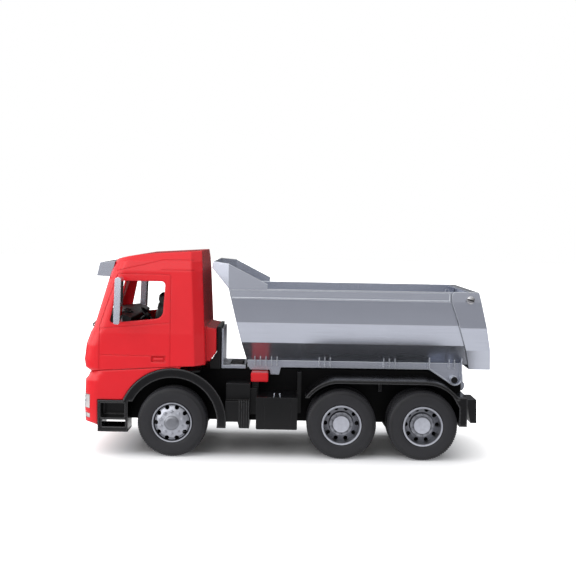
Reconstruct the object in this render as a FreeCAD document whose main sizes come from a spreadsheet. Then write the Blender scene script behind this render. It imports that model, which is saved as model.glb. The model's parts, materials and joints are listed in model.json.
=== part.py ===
"""Toy three-axle dump truck as a parametric FreeCAD document.

Millimetres. The truck faces -X, its left side is -Y and +Z is up. The origin lies on the floor
under the middle of the truck's overall length and width.
"""

import FreeCAD, Part
import math
import os
import re

import Sketcher

Vector = FreeCAD.Vector
Rotation = FreeCAD.Rotation

# Driving dimensions: alias, value, meaning. Places are measured from the origin.
SIZES = (
    # wheels and axles
    ("tyre_radius", 52.0, "crown of every tyre; also the height of the axles"),
    ("tyre_outer_y", 102.0, "outer face of every wheel"),
    ("front_tyre_width", 36.0, "single front tyre"),
    ("twin_tyre_width", 26.0, "each tyre of a rear pair"),
    ("twin_tyre_gap", 5.0, "daylight between the two tyres of a pair"),
    ("rim_radius", 29.6, "outside of the rim's lip"),
    ("rim_seat", 28.5, "barrel on which the tyre's bore sits"),
    ("rim_wall", 2.3, "barrel thickness"),
    ("seat_gap", 0.1, "between a tyre's bore and the barrel"),
    ("rim_hole_pitch", 23.6, "circle of the hand holes"),
    ("rim_hole_radius", 3.2, "one hand hole"),
    ("rim_hole_count", 10, "hand holes in a rim"),
    ("hub_radius", 7.0, "hub tube and the bearing boss that faces it"),
    ("front_cap_radius", 11.2, "domed cap of a front hub"),
    ("rear_cap_radius", 12.3, "flat cap of a rear hub"),
    ("rear_dish", 17.0, "depth of a rear rim's disc behind its lip"),
    ("rod_radius", 2.5, "axle rod"),
    ("rod_end_y", 86.0, "end of an axle rod"),
    ("running_gap", 0.08, "radial play of hubs and hinges on their pins"),
    ("side_play", 1.0, "play between a hub tube and its bearing boss"),
    ("front_axle_x", -172.0, "place of the front axle"),
    ("middle_axle_x", 80.0, "place of the first rear axle"),
    ("bogie_gap", 17.0, "daylight between the tyres of the rear axles"),
    # chassis
    ("chassis_half_width", 34.5, "outside of the chassis walls"),
    ("chassis_wall", 4.0, "chassis plate"),
    ("deck_rise", 21.0, "upper face of the chassis above the tyres"),
    ("axle_cover", 8.0, "chassis wall below the axles' middle"),
    ("rear_overhang", 15.0, "chassis behind the last tyre"),
    # cab
    ("cab_nose_x", -312.0, "foremost point of the cab"),
    ("cab_rear_x", -125.0, "foot of the rear wall"),
    ("cab_half_width", 97.0, "outside of the doors"),
    ("cab_wall", 3.0, "wall of the cab and the bumper"),
    ("cab_height", 182.5, "rear end of the roof above the chassis"),
    ("door_lift", 2.4, "lower edge of the door at its front above the chassis"),
    ("bumper_depth", 83.0, "lower edge of the bumper below the chassis' upper face"),
    ("panel_gap", 0.6, "joint between two body panels"),
    ("insert_gap", 0.3, "joint round an inserted piece"),
    ("groove_width", 0.8, "lines pressed into the doors and lids"),
    ("groove_depth", 0.7, "lines pressed into the doors and lids"),
    ("handle_depth", 1.6, "recess of the door handle"),
    ("visor_wall", 2.0, "plate of the sun visor"),
    ("arch_clearance", 14.5, "front wheel arch outside the tyre"),
    ("arch_face", 13.5, "width of the front wheel arch"),
    ("moulding_wall", 3.0, "wall of the black mouldings"),
    ("moulding_proud", 2.0, "black mouldings outside the doors"),
    ("tool_box_length", 61.5, "tool box on the chassis' side"),
    ("box_spacing", 10.0, "between battery box and tool box"),
    # dump body
    ("pivot_inset", 12.7, "tipping axis from the chassis' rear end"),
    ("pivot_drop", 10.7, "tipping axis below the chassis' upper face"),
    ("pivot_pin_radius", 3.0, "tipping pin"),
    ("bed_wall", 3.0, "wall of the dump body"),
    ("bed_front_x", -64.6, "front wall at the floor"),
    ("bed_front_slope", 25.8, "how far the front wall leans forward up to the rail"),
    ("bed_height", 116.0, "from the underside of the floor to the top of the rail"),
    ("bed_half_width", 100.0, "outside of the side wall under the rail"),
    ("rail_height", 15.0, "depth of the rail"),
    ("rail_proud", 2.5, "how far the rail stands out"),
    ("rail_lip", 2.0, "lips that frame the rail's face"),
    ("rail_recess", 0.8, "depth of the face between the lips"),
    ("knee_inset", 9.0, "upper knee of the side wall, inwards"),
    ("knee_drop", 51.0, "upper knee below the top of the rail"),
    ("heel_inset", 27.0, "lower knee of the side wall, inwards"),
    ("heel_rise", 33.0, "lower knee above the underside of the floor"),
    ("sill_wall", 2.0, "sill and bracket plate"),
    ("sill_clearance", 1.5, "between chassis wall and sill, sideways"),
    ("sill_lift", 3.0, "between the chassis' upper face and the sills"),
    ("sill_height", 9.0, "sill below the dump body's floor"),
    ("gusset_reach", 7.0, "ribs outside the sills"),
    ("gusset_wall", 1.5, "thickness of a rib"),
    ("bracket_reach", 10.0, "tipping bracket outside the sill"),
    ("foot_wall", 4.8, "foot plate behind the cab"),
    ("canopy_rise", 39.0, "front edge of the canopy above the rail"),
    ("canopy_overhang", 26.2, "front edge of the canopy ahead of the rail"),
    ("canopy_corner", 26.0, "from the canopy's front edge to its corner with the wing"),
    ("canopy_length", 82.6, "from the canopy's front edge to the end of a wing"),
    # tailgate
    ("gate_foot_reach", 44.0, "lower edge of the tailgate behind the chassis"),
    ("gate_slant", 33.5, "how far the tailgate leans forward up to the rail"),
    ("gate_foot_drop", 7.5, "lower edge of the tailgate below the dump body's floor"),
    ("gate_hinge_inset", 13.1, "tailgate hinge ahead of the plate's upper edge"),
    ("gate_hinge_drop", 11.1, "tailgate hinge below the top of the rail"),
    ("gate_stud_radius", 3.5, "shank of a hinge stud"),
    ("gate_head_radius", 5.8, "head of a hinge stud"),
    ("gate_wall", 1.5, "flange of the tailgate"),
    ("gate_relief", 1.1, "how far the dump body's walls step in under the tailgate's flange"),
    ("gate_plate", 3.0, "plate of the tailgate, measured along X"),
    ("gate_gap", 1.4, "between tailgate plate and dump body, along X"),
    # rear mudguards
    ("guard_rise", 15.5, "top of the rear mudguard above the tyres"),
    ("guard_leg", 40.0, "tips of the rear mudguard above the axles"),
    ("guard_skin", 2.5, "skin of the rear mudguard"),
    ("guard_band", 5.0, "height of its outer band"),
    ("guard_lip", 1.3, "lips that frame the band's groove"),
    ("guard_inset", 5.0, "inner edge of the mudguard outside the sills"),
    ("skirt_clearance", 2.5, "between the last tyre and the plate behind it"),
)

# Places and sizes that follow from the driving dimensions.
PLACES = {
    "deck_z": "2 * tyre_radius + deck_rise",
    "chassis_floor_z": "tyre_radius - axle_cover",
    "chassis_front_x": "cab_nose_x + 16",
    "rear_axle_x": "middle_axle_x + 2 * tyre_radius + bogie_gap",
    "chassis_rear_x": "rear_axle_x + tyre_radius + rear_overhang",
    "bogie_x": "(middle_axle_x + rear_axle_x) / 2",
    "pivot_x": "chassis_rear_x - pivot_inset",
    "pivot_z": "deck_z - pivot_drop",
    "cab_sill_z": "deck_z + door_lift",
    "cab_roof_z": "deck_z + cab_height",
    "bumper_floor_z": "deck_z - bumper_depth",
    "arch_inner_radius": "tyre_radius + arch_clearance",
    "arch_outer_radius": "arch_inner_radius + arch_face",
    "moulding_outer_y": "cab_half_width + moulding_proud",
    "step_rear_x": "front_axle_x - arch_inner_radius",
    "battery_front_x": "front_axle_x + arch_outer_radius - 1.5",
    "tool_box_rear_x": "middle_axle_x - tyre_radius - 14",
    "tool_box_front_x": "tool_box_rear_x - tool_box_length",
    "battery_rear_x": "tool_box_front_x - box_spacing",
    "sill_outer_y": "chassis_half_width + sill_clearance + sill_wall",
    "bracket_outer_y": "sill_outer_y + bracket_reach",
    "sill_floor_z": "deck_z + sill_lift",
    "bed_floor_y": "sill_outer_y - 2",
    "bed_floor_z": "sill_floor_z + sill_height",
    "bed_heel_y": "bed_half_width - heel_inset",
    "bed_heel_z": "bed_floor_z + heel_rise",
    "bed_knee_y": "bed_half_width - knee_inset",
    "bed_knee_z": "bed_rail_z - knee_drop",
    "bed_rail_z": "bed_floor_z + bed_height",
    "rail_floor_z": "bed_rail_z - rail_height",
    "rail_outer_y": "bed_half_width + rail_proud",
    "rail_front_x": "bed_front_x - bed_front_slope",
    "canopy_tip_x": "rail_front_x - canopy_overhang",
    "canopy_tip_z": "bed_rail_z + canopy_rise",
    "canopy_tail_x": "canopy_tip_x + canopy_length",
    "foot_rear_x": "bed_front_x - 1.9",
    "foot_front_x": "foot_rear_x - 37.2",
    "gate_foot_x": "chassis_rear_x + gate_foot_reach",
    "gate_foot_z": "bed_floor_z - gate_foot_drop",
    "gate_top_x": "gate_foot_x - gate_slant",
    "gate_hinge_x": "gate_top_x - gate_hinge_inset",
    "gate_hinge_z": "bed_rail_z - gate_hinge_drop",
    "rail_rear_x": "gate_hinge_x - 28.2",
    "guard_top_z": "2 * tyre_radius + guard_rise",
    "guard_tip_z": "tyre_radius + guard_leg",
    "guard_inner_y": "sill_outer_y + guard_inset",
    "skirt_rear_x": "rear_axle_x + tyre_radius + 14",
}

doc = FreeCAD.newDocument("dump_truck")
sheet = doc.addObject("Spreadsheet::Sheet", "sizes")
for row, (alias, size, meaning) in enumerate(SIZES, start=1):
    sheet.set(f"A{row}", alias)
    sheet.set(f"B{row}", str(size))
    sheet.set(f"C{row}", meaning)
    sheet.setAlias(f"B{row}", alias)
doc.recompute()

ALIASES = {alias for alias, size, meaning in SIZES}
WORD = re.compile(r"[a-z_]\w*")
NODES = []
FAR = 400  # further out than any piece, for tools that cut right through


# ---------------------------------------------------------------- expressions and drawing tools

def bound(expression):
    """The expression with its places written out and every size taken from the sheet."""
    text = str(expression)
    while any(word in PLACES for word in WORD.findall(text)):
        text = WORD.sub(lambda word: f"({PLACES[word[0]]})" if word[0] in PLACES else word[0], text)
    return WORD.sub(lambda word: "sizes." + word[0] if word[0] in ALIASES else word[0], text)


def value(expression):
    """The present value of an expression in the sheet's sizes."""
    return float(sheet.evalExpression(bound(expression)))


def bind(target, **properties):
    """Ties properties to expressions; a double underscore stands for a dot."""
    for name, expression in properties.items():
        target.setExpression(name.replace("__", "."), bound(expression))


def add(kind, name):
    return doc.addObject(kind, name)


def node(label, shape):
    """Names a finished sub-part."""
    shape.Label = label
    NODES.append(shape)
    return shape


def negative(expression):
    return f"-({expression})"


def across(half):
    """The mirror image, in reverse order, of a half outline's (distance, height) points."""
    return [(negative(point[0]), *point[1:]) for point in reversed(half)]


def outline(sketch, points):
    """Draws a closed outline through (x, y) or (x, y, corner radius) points bound to the sheet."""
    corners = [Vector(value(point[0]), value(point[1]), 0) for point in points]
    radii = [point[2] if len(point) > 2 else None for point in points]
    ends = []
    for index, corner in enumerate(corners):
        if radii[index] is None:
            ends.append((corner, corner, None, False))
            continue
        before = (corners[index - 1] - corner).normalize()
        after = (corners[(index + 1) % len(corners)] - corner).normalize()
        half_angle = before.getAngle(after) / 2
        radius = value(radii[index])
        reach = radius / math.tan(half_angle)
        centre = corner + (before + after).normalize() * (radius / math.sin(half_angle))
        turns_left = after.cross(before).z > 0
        ends.append((corner + before * reach, corner + after * reach, centre, turns_left))
    lines = [sketch.addGeometry(Part.LineSegment(ends[index][1], ends[(index + 1) % len(ends)][0]))
             for index in range(len(ends))]
    for index, (start, end, centre, turns_left) in enumerate(ends):
        line_in, line_out = lines[index - 1], lines[index]
        if centre is None:
            sketch.addConstraint(Sketcher.Constraint("Coincident", line_in, 2, line_out, 1))
            corner, place = line_out, 1
        else:
            spokes = (start - centre, end - centre) if turns_left else (end - centre, start - centre)
            angles = [math.atan2(spoke.y, spoke.x) for spoke in spokes]
            circle = Part.Circle(centre, Vector(0, 0, 1), value(radii[index]))
            arc = sketch.addGeometry(Part.ArcOfCircle(circle, *angles))
            first, last = (1, 2) if turns_left else (2, 1)
            sketch.addConstraint(Sketcher.Constraint("Tangent", line_in, 2, arc, first))
            sketch.addConstraint(Sketcher.Constraint("Tangent", arc, last, line_out, 1))
            held = sketch.addConstraint(Sketcher.Constraint("Radius", arc, value(radii[index])))
            sketch.setExpression(f"Constraints[{held}]", bound(radii[index]))
            corner, place = sketch.addGeometry(Part.Point(corners[index]), True), 1
            sketch.addConstraint(Sketcher.Constraint("PointOnObject", corner, 1, line_in))
            sketch.addConstraint(Sketcher.Constraint("PointOnObject", corner, 1, line_out))
        for kind, expression in (("DistanceX", points[index][0]), ("DistanceY", points[index][1])):
            held = sketch.addConstraint(Sketcher.Constraint(kind, -1, 1, corner, place,
                                                            value(expression)))
            sketch.setExpression(f"Constraints[{held}]", bound(expression))


# The drawing planes: how a sketch is stood up, the axis its prisms grow along, that axis's name.
PLANES = {
    "side": (Rotation(Vector(1, 0, 0), 90), Vector(0, 1, 0), "y"),   # sketch x and y are X and Z
    "plan": (Rotation(), Vector(0, 0, 1), "z"),                      # sketch x and y are X and Y
    "end": (Rotation(Vector(1, 1, 1), 120), Vector(1, 0, 0), "x"),   # sketch x and y are Y and Z
}


def drawing(name, plane, points, height=0):
    """A sketch of a closed outline on a drawing plane, moved along the plane's axis."""
    turn, axis, letter = PLANES[plane]
    sketch = add("Sketcher::SketchObject", name)
    sketch.Placement = FreeCAD.Placement(Vector(), turn)
    sketch.setExpression(f"Placement.Base.{letter}", bound(height))
    outline(sketch, points)
    return sketch


def shrunk(sketch, inset):
    """The face inside a sketch, its edges moved inwards by the inset."""
    face = add("Part::Face", sketch.Name + "_face")
    face.Sources = [sketch]
    smaller = add("Part::Offset2D", sketch.Name + "_inset")
    smaller.Source = face
    smaller.Join = "Intersection"
    smaller.Mode = "Skin"
    bind(smaller, Value=negative(inset))
    return smaller


def prism(name, plane, points, low, high, inset=None):
    """An outline drawn on a plane, moved inwards if asked, and extruded from low to high."""
    base = drawing(name + "_outline", plane, points, low)
    solid = add("Part::Extrusion", name)
    solid.Base = shrunk(base, inset) if inset else base
    solid.DirMode = "Custom"
    solid.Dir = PLANES[plane][1]
    solid.Solid = True
    bind(solid, LengthFwd=f"({high}) - ({low})")
    return solid


def box(name, x, y, z):
    """A box between pairs of expressions along each axis."""
    solid = add("Part::Box", name)
    bind(solid, Length=f"({x[1]}) - ({x[0]})", Width=f"({y[1]}) - ({y[0]})",
         Height=f"({z[1]}) - ({z[0]})", Placement__Base__x=x[0], Placement__Base__y=y[0],
         Placement__Base__z=z[0])
    return solid


def cross_cylinder(name, x, z, radius, low, high):
    """A cylinder across the truck, between two places along Y."""
    solid = add("Part::Cylinder", name)
    solid.Placement = FreeCAD.Placement(Vector(), Rotation(Vector(1, 0, 0), -90))
    bind(solid, Radius=radius, Height=f"({high}) - ({low})", Placement__Base__x=x,
         Placement__Base__y=low, Placement__Base__z=z)
    return solid


def turned(name, points):
    """A solid turned about Y from a half section of (radius, distance along the axle) points."""
    solid = add("Part::Revolution", name)
    solid.Source = drawing(name + "_section", "plan", points)
    solid.Axis = Vector(0, 1, 0)
    solid.Angle = 360
    solid.Solid = True
    return solid


def loft(name, sections):
    solid = add("Part::Loft", name)
    solid.Sections = sections
    solid.Solid = True
    solid.Ruled = True
    return solid


def fuse(name, *solids):
    whole = add("Part::MultiFuse", name)
    whole.Shapes = list(solids)
    whole.Refine = True
    return whole


def common(name, *solids):
    whole = add("Part::MultiCommon", name)
    whole.Shapes = list(solids)
    return whole


def cut(name, base, *tools):
    whole = add("Part::Cut", name)
    whole.Base = base
    whole.Tool = tools[0] if len(tools) == 1 else fuse(name + "_tools", *tools)
    return whole


def mirrored(name, source):
    """The same solid on the other side of the truck."""
    copy = add("Part::Mirroring", name)
    copy.Source = source
    copy.Normal = Vector(0, 1, 0)
    return copy


def pair(name, solid):
    return fuse(name, solid, mirrored(name + "_mirrored", solid))


# ---------------------------------------------------------------- wheels and axles

def tyre(name, start, width):
    """A tyre whose outer face lies at start along the axle: bore, bulged walls, flat crown."""
    end = f"{start} + {width}"
    return turned(name, [
        ("rim_seat + seat_gap", f"{start} + 1.5"),
        ("rim_seat + 5", start, 3),
        ("tyre_radius - 7", start, 5),
        ("tyre_radius", f"{start} + 3.5", 3),
        ("tyre_radius", f"{end} - 3.5", 3),
        ("tyre_radius - 7", end, 5),
        ("rim_seat + 5", end, 3),
        ("rim_seat + seat_gap", f"{end} - 1.5"),
    ])


def hub_section(disc_back, tube_end):
    """The inner part of a rim's section: hub tube with its blind bore for the axle rod."""
    bore = "rod_radius + running_gap"
    bore_end = "tyre_outer_y - rod_end_y - 0.5"
    return [
        ("hub_radius", disc_back),
        ("hub_radius", tube_end),
        (bore, tube_end),
        (bore, bore_end),
        (0, bore_end),
    ]


def rim(name, section):
    """A rim as a body: turned section with a ring of hand holes."""
    body = add("PartDesign::Body", name)
    planes = {feature.Role: feature for feature in body.Origin.OriginFeatures}

    profile = body.newObject("Sketcher::SketchObject", name + "_section")
    profile.AttachmentSupport = [(planes["XY_Plane"], "")]
    profile.MapMode = "FlatFace"
    outline(profile, section)
    turn = body.newObject("PartDesign::Revolution", name + "_turned")
    turn.Profile = profile
    turn.ReferenceAxis = (profile, ["V_Axis"])
    turn.Angle = 360
    profile.Visibility = False

    hole = body.newObject("Sketcher::SketchObject", name + "_hole")
    hole.AttachmentSupport = [(planes["XZ_Plane"], "")]
    hole.MapMode = "FlatFace"
    circle = hole.addGeometry(Part.Circle(Vector(value("rim_hole_pitch"), 0, 0), Vector(0, 0, 1),
                                          value("rim_hole_radius")))
    held = (("DistanceX", "rim_hole_pitch"), ("Radius", "rim_hole_radius"))
    for kind, size in held:
        ends = (-1, 1, circle, 3) if kind == "DistanceX" else (circle,)
        index = hole.addConstraint(Sketcher.Constraint(kind, *ends, value(size)))
        hole.setExpression(f"Constraints[{index}]", bound(size))
    hole.addConstraint(Sketcher.Constraint("PointOnObject", circle, 3, -1))
    doc.recompute()
    pocket = body.newObject("PartDesign::Pocket", name + "_hand_hole")
    pocket.Profile = hole
    pocket.Type = "ThroughAll"
    pocket.SideType = "Symmetric"
    ring = body.newObject("PartDesign::PolarPattern", name + "_hand_holes")
    ring.Originals = [pocket]
    ring.Axis = (planes["Y_Axis"], [""])
    ring.Angle = 360
    bind(ring, Occurrences="rim_hole_count")
    body.Tip = ring
    return body


def front_rim(name):
    """Convex disc close to the lip, with a domed cap."""
    end = "front_tyre_width - 1.5"
    barrel = "rim_seat - rim_wall"
    return rim(name, [
        (0, -6.5),
        ("front_cap_radius - 3", -6.2, 6),
        ("front_cap_radius", -3.4),
        ("front_cap_radius + 7", -1.8, 3),
        (f"{barrel} - 1", 2.2),
        (f"{barrel} + 0.6", -0.6),
        ("rim_radius", -0.6),
        ("rim_radius", 1.0),
        ("rim_seat", 1.0),
        ("rim_seat", end),
        (barrel, end),
        (barrel, 6),
        ("rim_hole_pitch - 6", 4),
    ] + hub_section(4, "front_tyre_width + 2"))


def rear_rim(name):
    """Deep dish for a pair of tyres, with a flat cap on a raised hub ring."""
    end = "2 * twin_tyre_width + twin_tyre_gap - 1.5"
    barrel = "rim_seat - rim_wall"
    return rim(name, [
        (0, "rear_dish - 10"),
        ("rear_cap_radius", "rear_dish - 10"),
        ("rear_cap_radius", "rear_dish - 6.5"),
        ("rear_cap_radius + 5.3", "rear_dish - 6"),
        ("rear_cap_radius + 6.3", "rear_dish"),
        (f"{barrel} - 0.4", "rear_dish + 1"),
        (f"{barrel} + 0.6", -0.5),
        ("rim_radius", -0.5),
        ("rim_radius", 1.0),
        ("rim_seat", 1.0),
        ("rim_seat", end),
        (barrel, end),
        (barrel, "rear_dish + 5"),
        ("rim_hole_pitch - 6", "rear_dish + 3.5"),
    ] + hub_section("rear_dish + 3.5", "2 * twin_tyre_width + twin_tyre_gap + 2"))


def place_wheel(part, axle_x, side):
    """Puts a wheel piece, drawn with its outer face at Y = 0, on the left (-1) or right (1)."""
    part.Placement = FreeCAD.Placement(Vector(), Rotation(Vector(0, 0, 1), 90 + 90 * side))
    bind(part, Placement__Base__x=axle_x, Placement__Base__y=f"{side} * tyre_outer_y",
         Placement__Base__z="tyre_radius")
    return part


# axle, name of its place, whether its wheels are twins
AXLES = (
    ("front", "front_axle_x", False),
    ("middle", "middle_axle_x", True),
    ("rear", "rear_axle_x", True),
)
SIDES = (("left", -1), ("right", 1))


def wheels():
    for axle, axle_x, twin in AXLES:
        node(f"{axle}_axle_rod", cross_cylinder(f"{axle}_rod", axle_x, "tyre_radius", "rod_radius",
                                                "-rod_end_y", "rod_end_y"))
        for side_name, side in SIDES:
            name = f"{axle}_{side_name}"
            if twin:
                inner_start = "twin_tyre_width + twin_tyre_gap"
                rubber = fuse(f"{name}_pair", tyre(f"{name}_outer_tyre", 0, "twin_tyre_width"),
                              tyre(f"{name}_inner_tyre", inner_start, "twin_tyre_width"))
                metal = rear_rim(f"{name}_wheel")
            else:
                rubber = tyre(f"{name}_single", 0, "front_tyre_width")
                metal = front_rim(f"{name}_wheel")
            node(f"{axle}_tyre_{side_name}", place_wheel(rubber, axle_x, side))
            node(f"{axle}_rim_{side_name}", place_wheel(metal, axle_x, side))


# ---------------------------------------------------------------- chassis

def chassis():
    """An upturned channel with bearing bosses for the rods and the tipping pin."""
    shell = prism("chassis_block", "side", [
        ("chassis_front_x", "chassis_floor_z + 18"),
        ("chassis_front_x", "deck_z - 13"),
        ("chassis_front_x + 12", "deck_z"),
        ("chassis_rear_x", "deck_z", 10),
        ("chassis_rear_x", "chassis_floor_z + 18"),
        ("chassis_rear_x - 18", "chassis_floor_z"),
        ("chassis_front_x + 26", "chassis_floor_z"),
    ], "-chassis_half_width", "chassis_half_width")
    hollow = box("chassis_hollow", ("chassis_front_x + chassis_wall", "chassis_rear_x - chassis_wall"),
                 ("-chassis_half_width + chassis_wall", "chassis_half_width - chassis_wall"),
                 ("chassis_floor_z - 1", "deck_z - chassis_wall"))
    bosses = []
    bores = []
    for axle, axle_x, twin in AXLES:
        width = "2 * twin_tyre_width + twin_tyre_gap" if twin else "front_tyre_width"
        boss_end = f"tyre_outer_y - ({width}) - 2 - side_play"
        boss = cross_cylinder(f"{axle}_boss", axle_x, "tyre_radius", "hub_radius",
                              "chassis_half_width - chassis_wall", boss_end)
        bosses.append(pair(f"{axle}_bosses", boss))
        bores.append(cross_cylinder(f"{axle}_bore", axle_x, "tyre_radius", "rod_radius",
                                    "-rod_end_y", "rod_end_y"))
    bores.append(cross_cylinder("tipping_bore", "pivot_x", "pivot_z", "pivot_pin_radius",
                                "-rod_end_y", "rod_end_y"))
    walls = cut("chassis_walls", shell, hollow)
    node("chassis_frame", cut("chassis", fuse("chassis_with_bosses", walls, *bosses), *bores))


def tipping_pin():
    """Pin through the chassis, with a head outside each bracket of the dump body."""
    head_end = "bracket_outer_y + 2.5"
    shank = cross_cylinder("tipping_shank", "pivot_x", "pivot_z", "pivot_pin_radius",
                           negative(head_end), head_end)
    head = cross_cylinder("tipping_head", "pivot_x", "pivot_z", "pivot_pin_radius + 2",
                          "bracket_outer_y + insert_gap", head_end)
    node("tipping_pin", fuse("tipping_pin_whole", shank, pair("tipping_heads", head)))


# ---------------------------------------------------------------- cab and bumper

# Plan sections of the cab: height above the deck, set-back of the nose, narrowing of each side,
# set-in of the rear wall.
CAB_SECTIONS = (
    (-7, 16, 3, 0),
    (-2, 11, 1.5, 0),
    (5, 2, 0, 0),
    (16, 0, 0, 0),
    (40, 3, 0, 1),
    (58, 9.5, 0, 1.8),
    (65, 13.5, 0.5, 2),
    (151, 39.5, 5, 6),
    (166, 46, 9, 7),
    (187, 56, 24, 9),
)
# Plan sections of the bumper, in the same columns.
BUMPER_SECTIONS = (
    (-83, 18, 4, 0),
    (-76, 1.5, 1, 0),
    (-53, 0.5, 0, 0),
    (-15, 2, 0, 0),
    (-13, 2.2, 0, 0),
    (-10, 5.6, 0, 0),
    (-3.5, 8.2, 0, 0),
    (-1.5, 11.5, 0, 0),
    (13, 14, 0, 0),
)
# Roof line in side view: place behind the nose, drop below the roof's rear end.
ROOF_LINE = ((-18, 19.5), (49.6, 16.6), (55.1, 13.8), (72.6, 9.8), (90, 6.8))
# Lines pressed into each side of the cab: name, then start and end behind the nose and above the
# deck.
CAB_LINES = (
    ("belt", 30, 65, 136, 75),
    ("door_crease", 30, 26, 129, 25),
    ("drip_rail", 121, 153, 169, 153),
    ("swage_front", 55, 151, 94, 160),
    ("swage_middle", 94, 160, 124, 168),
    ("swage_rear", 124, 168, 169, 168),
)


def plan_loft(name, sections, inset):
    """A loft of plan sections with a bowed front, round front corners and chamfered rear ones."""
    drawings = []
    for index, (height, set_back, narrowing, set_in) in enumerate(sections):
        nose = f"cab_nose_x + {set_back} + {inset}"
        side = f"cab_half_width - {narrowing} - ({inset})"
        rear = f"cab_rear_x - {set_in} - ({inset})"
        half = [
            (rear, f"{side} - 12"),
            (f"{rear} - 15", side),
            (f"{nose} + 6", side, f"24 - ({inset})"),
        ]
        other_half = [(x, negative(y), *radius) for x, y, *radius in reversed(half)]
        points = half + [(f"{nose} - 1", 0, 420)] + other_half
        drawings.append(drawing(f"{name}_section_{index}", "plan", points, f"deck_z + {height}"))
    return loft(name, drawings)


def door_foot(below):
    """The lower edge of the cab in side view, moved down, from the nose to behind the cab."""
    return [
        ("cab_nose_x - 18", f"cab_sill_z - 4.4 - {below}"),
        ("cab_nose_x + 12", f"cab_sill_z - 4.4 - {below}"),
        ("cab_nose_x + 29", f"cab_sill_z - {below}"),
        ("cab_nose_x + 126", f"cab_sill_z + 6 - {below}"),
    ]


def cab_side(name, drop, below):
    """Side silhouette of the cab between its lower edge and its roof line."""
    roof = [(f"cab_nose_x + {x}", f"cab_roof_z - {down + drop}") for x, down in reversed(ROOF_LINE)]
    return prism(name, "side", [
        *door_foot(below),
        ("cab_rear_x + 25", f"cab_sill_z + 10.5 - {below}"),
        ("cab_rear_x + 25", f"cab_roof_z + 1.5 - {drop}"),
        *roof,
    ], -FAR, FAR)


def window_tools():
    side_window = prism("side_window", "side", [
        ("cab_nose_x + 45", "deck_z + 73", 4),
        ("cab_nose_x + 124", "deck_z + 81.5", 12),
        ("cab_nose_x + 127.5", "deck_z + 136", 6),
        ("cab_nose_x + 58.5", "deck_z + 136", 8),
    ], -FAR, FAR)
    pane = [("cab_half_width - 15", "deck_z + 71", 8), ("cab_half_width - 22", "deck_z + 144", 10)]
    windscreen = prism("windscreen", "end", pane + across(pane), "cab_nose_x - 18",
                       "cab_nose_x + 62")
    eye = [(50, "deck_z + 11", 4), (54, "deck_z + 51", 4)]
    grille_eye = prism("grille_opening", "end", eye + across(eye), "cab_nose_x - 18",
                       "cab_nose_x + 22")
    return [side_window, windscreen, grille_eye]


def pressed_lines():
    """Door outline and creases as a tool that bites into the cab's skin on both sides."""
    door = [
        ("cab_nose_x + 30", "cab_sill_z - 4"),
        ("cab_nose_x + 136", "cab_sill_z - 4"),
        ("cab_nose_x + 136", "deck_z + 147", 5),
        ("cab_nose_x + 56", "deck_z + 147", 5),
        ("cab_nose_x + 30", "deck_z + 70"),
    ]
    lines = [cut("door_line", prism("door_line_outer", "side", door, -FAR, FAR),
                 prism("door_line_inner", "side", door, -FAR, FAR, "groove_width"))]
    for name, start_x, start_z, end_x, end_z in CAB_LINES:
        start, end = f"cab_nose_x + {start_x}", f"cab_nose_x + {end_x}"
        lines.append(prism(name + "_line", "side", [
            (start, f"deck_z + {start_z} - groove_width / 2"),
            (end, f"deck_z + {end_z} - groove_width / 2"),
            (end, f"deck_z + {end_z} + groove_width / 2"),
            (start, f"deck_z + {start_z} + groove_width / 2"),
        ], -FAR, FAR))
    return cut("pressed_lines", fuse("pressed_line_set", *lines),
               plan_loft("pressed_limit", CAB_SECTIONS, "groove_depth"))


def handle_recess():
    recess = prism("handle_region", "side", [
        ("cab_nose_x + 108", "deck_z + 16", 1.5),
        ("cab_nose_x + 129", "deck_z + 16", 1.5),
        ("cab_nose_x + 129", "deck_z + 24.5", 1.5),
        ("cab_nose_x + 108", "deck_z + 24.5", 1.5),
    ], -FAR, FAR)
    bar = box("handle_bar", ("cab_nose_x + 111", "cab_nose_x + 126"), (-FAR, FAR),
              ("deck_z + 19", "deck_z + 22.5"))
    return cut("handle_recess", recess, plan_loft("handle_limit", CAB_SECTIONS, "handle_depth"), bar)


def cab():
    outer = common("cab_outer", plan_loft("cab_skin", CAB_SECTIONS, "0"),
                   cab_side("cab_profile", 0, 0))
    hollow = common("cab_hollow", plan_loft("cab_lining", CAB_SECTIONS, "cab_wall"),
                    cab_side("cab_hollow_profile", 3, 20))
    shell = cut("cab_hollowed", outer, hollow)
    opened = cut("cab_opened", shell, *window_tools(), pressed_lines(), handle_recess())
    bulge = prism("rear_bulge", "side", [
        ("cab_rear_x - 2.5", "deck_z + 66"),
        ("cab_rear_x + 14", "deck_z + 63"),
        ("cab_rear_x + 14", "deck_z + 27"),
        ("cab_rear_x + 4", "deck_z + 13"),
        ("cab_rear_x - 2.5", "deck_z + 13"),
    ], -58, 58)
    node("cab_shell", fuse("cab", opened, bulge))
    return outer, hollow


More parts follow.
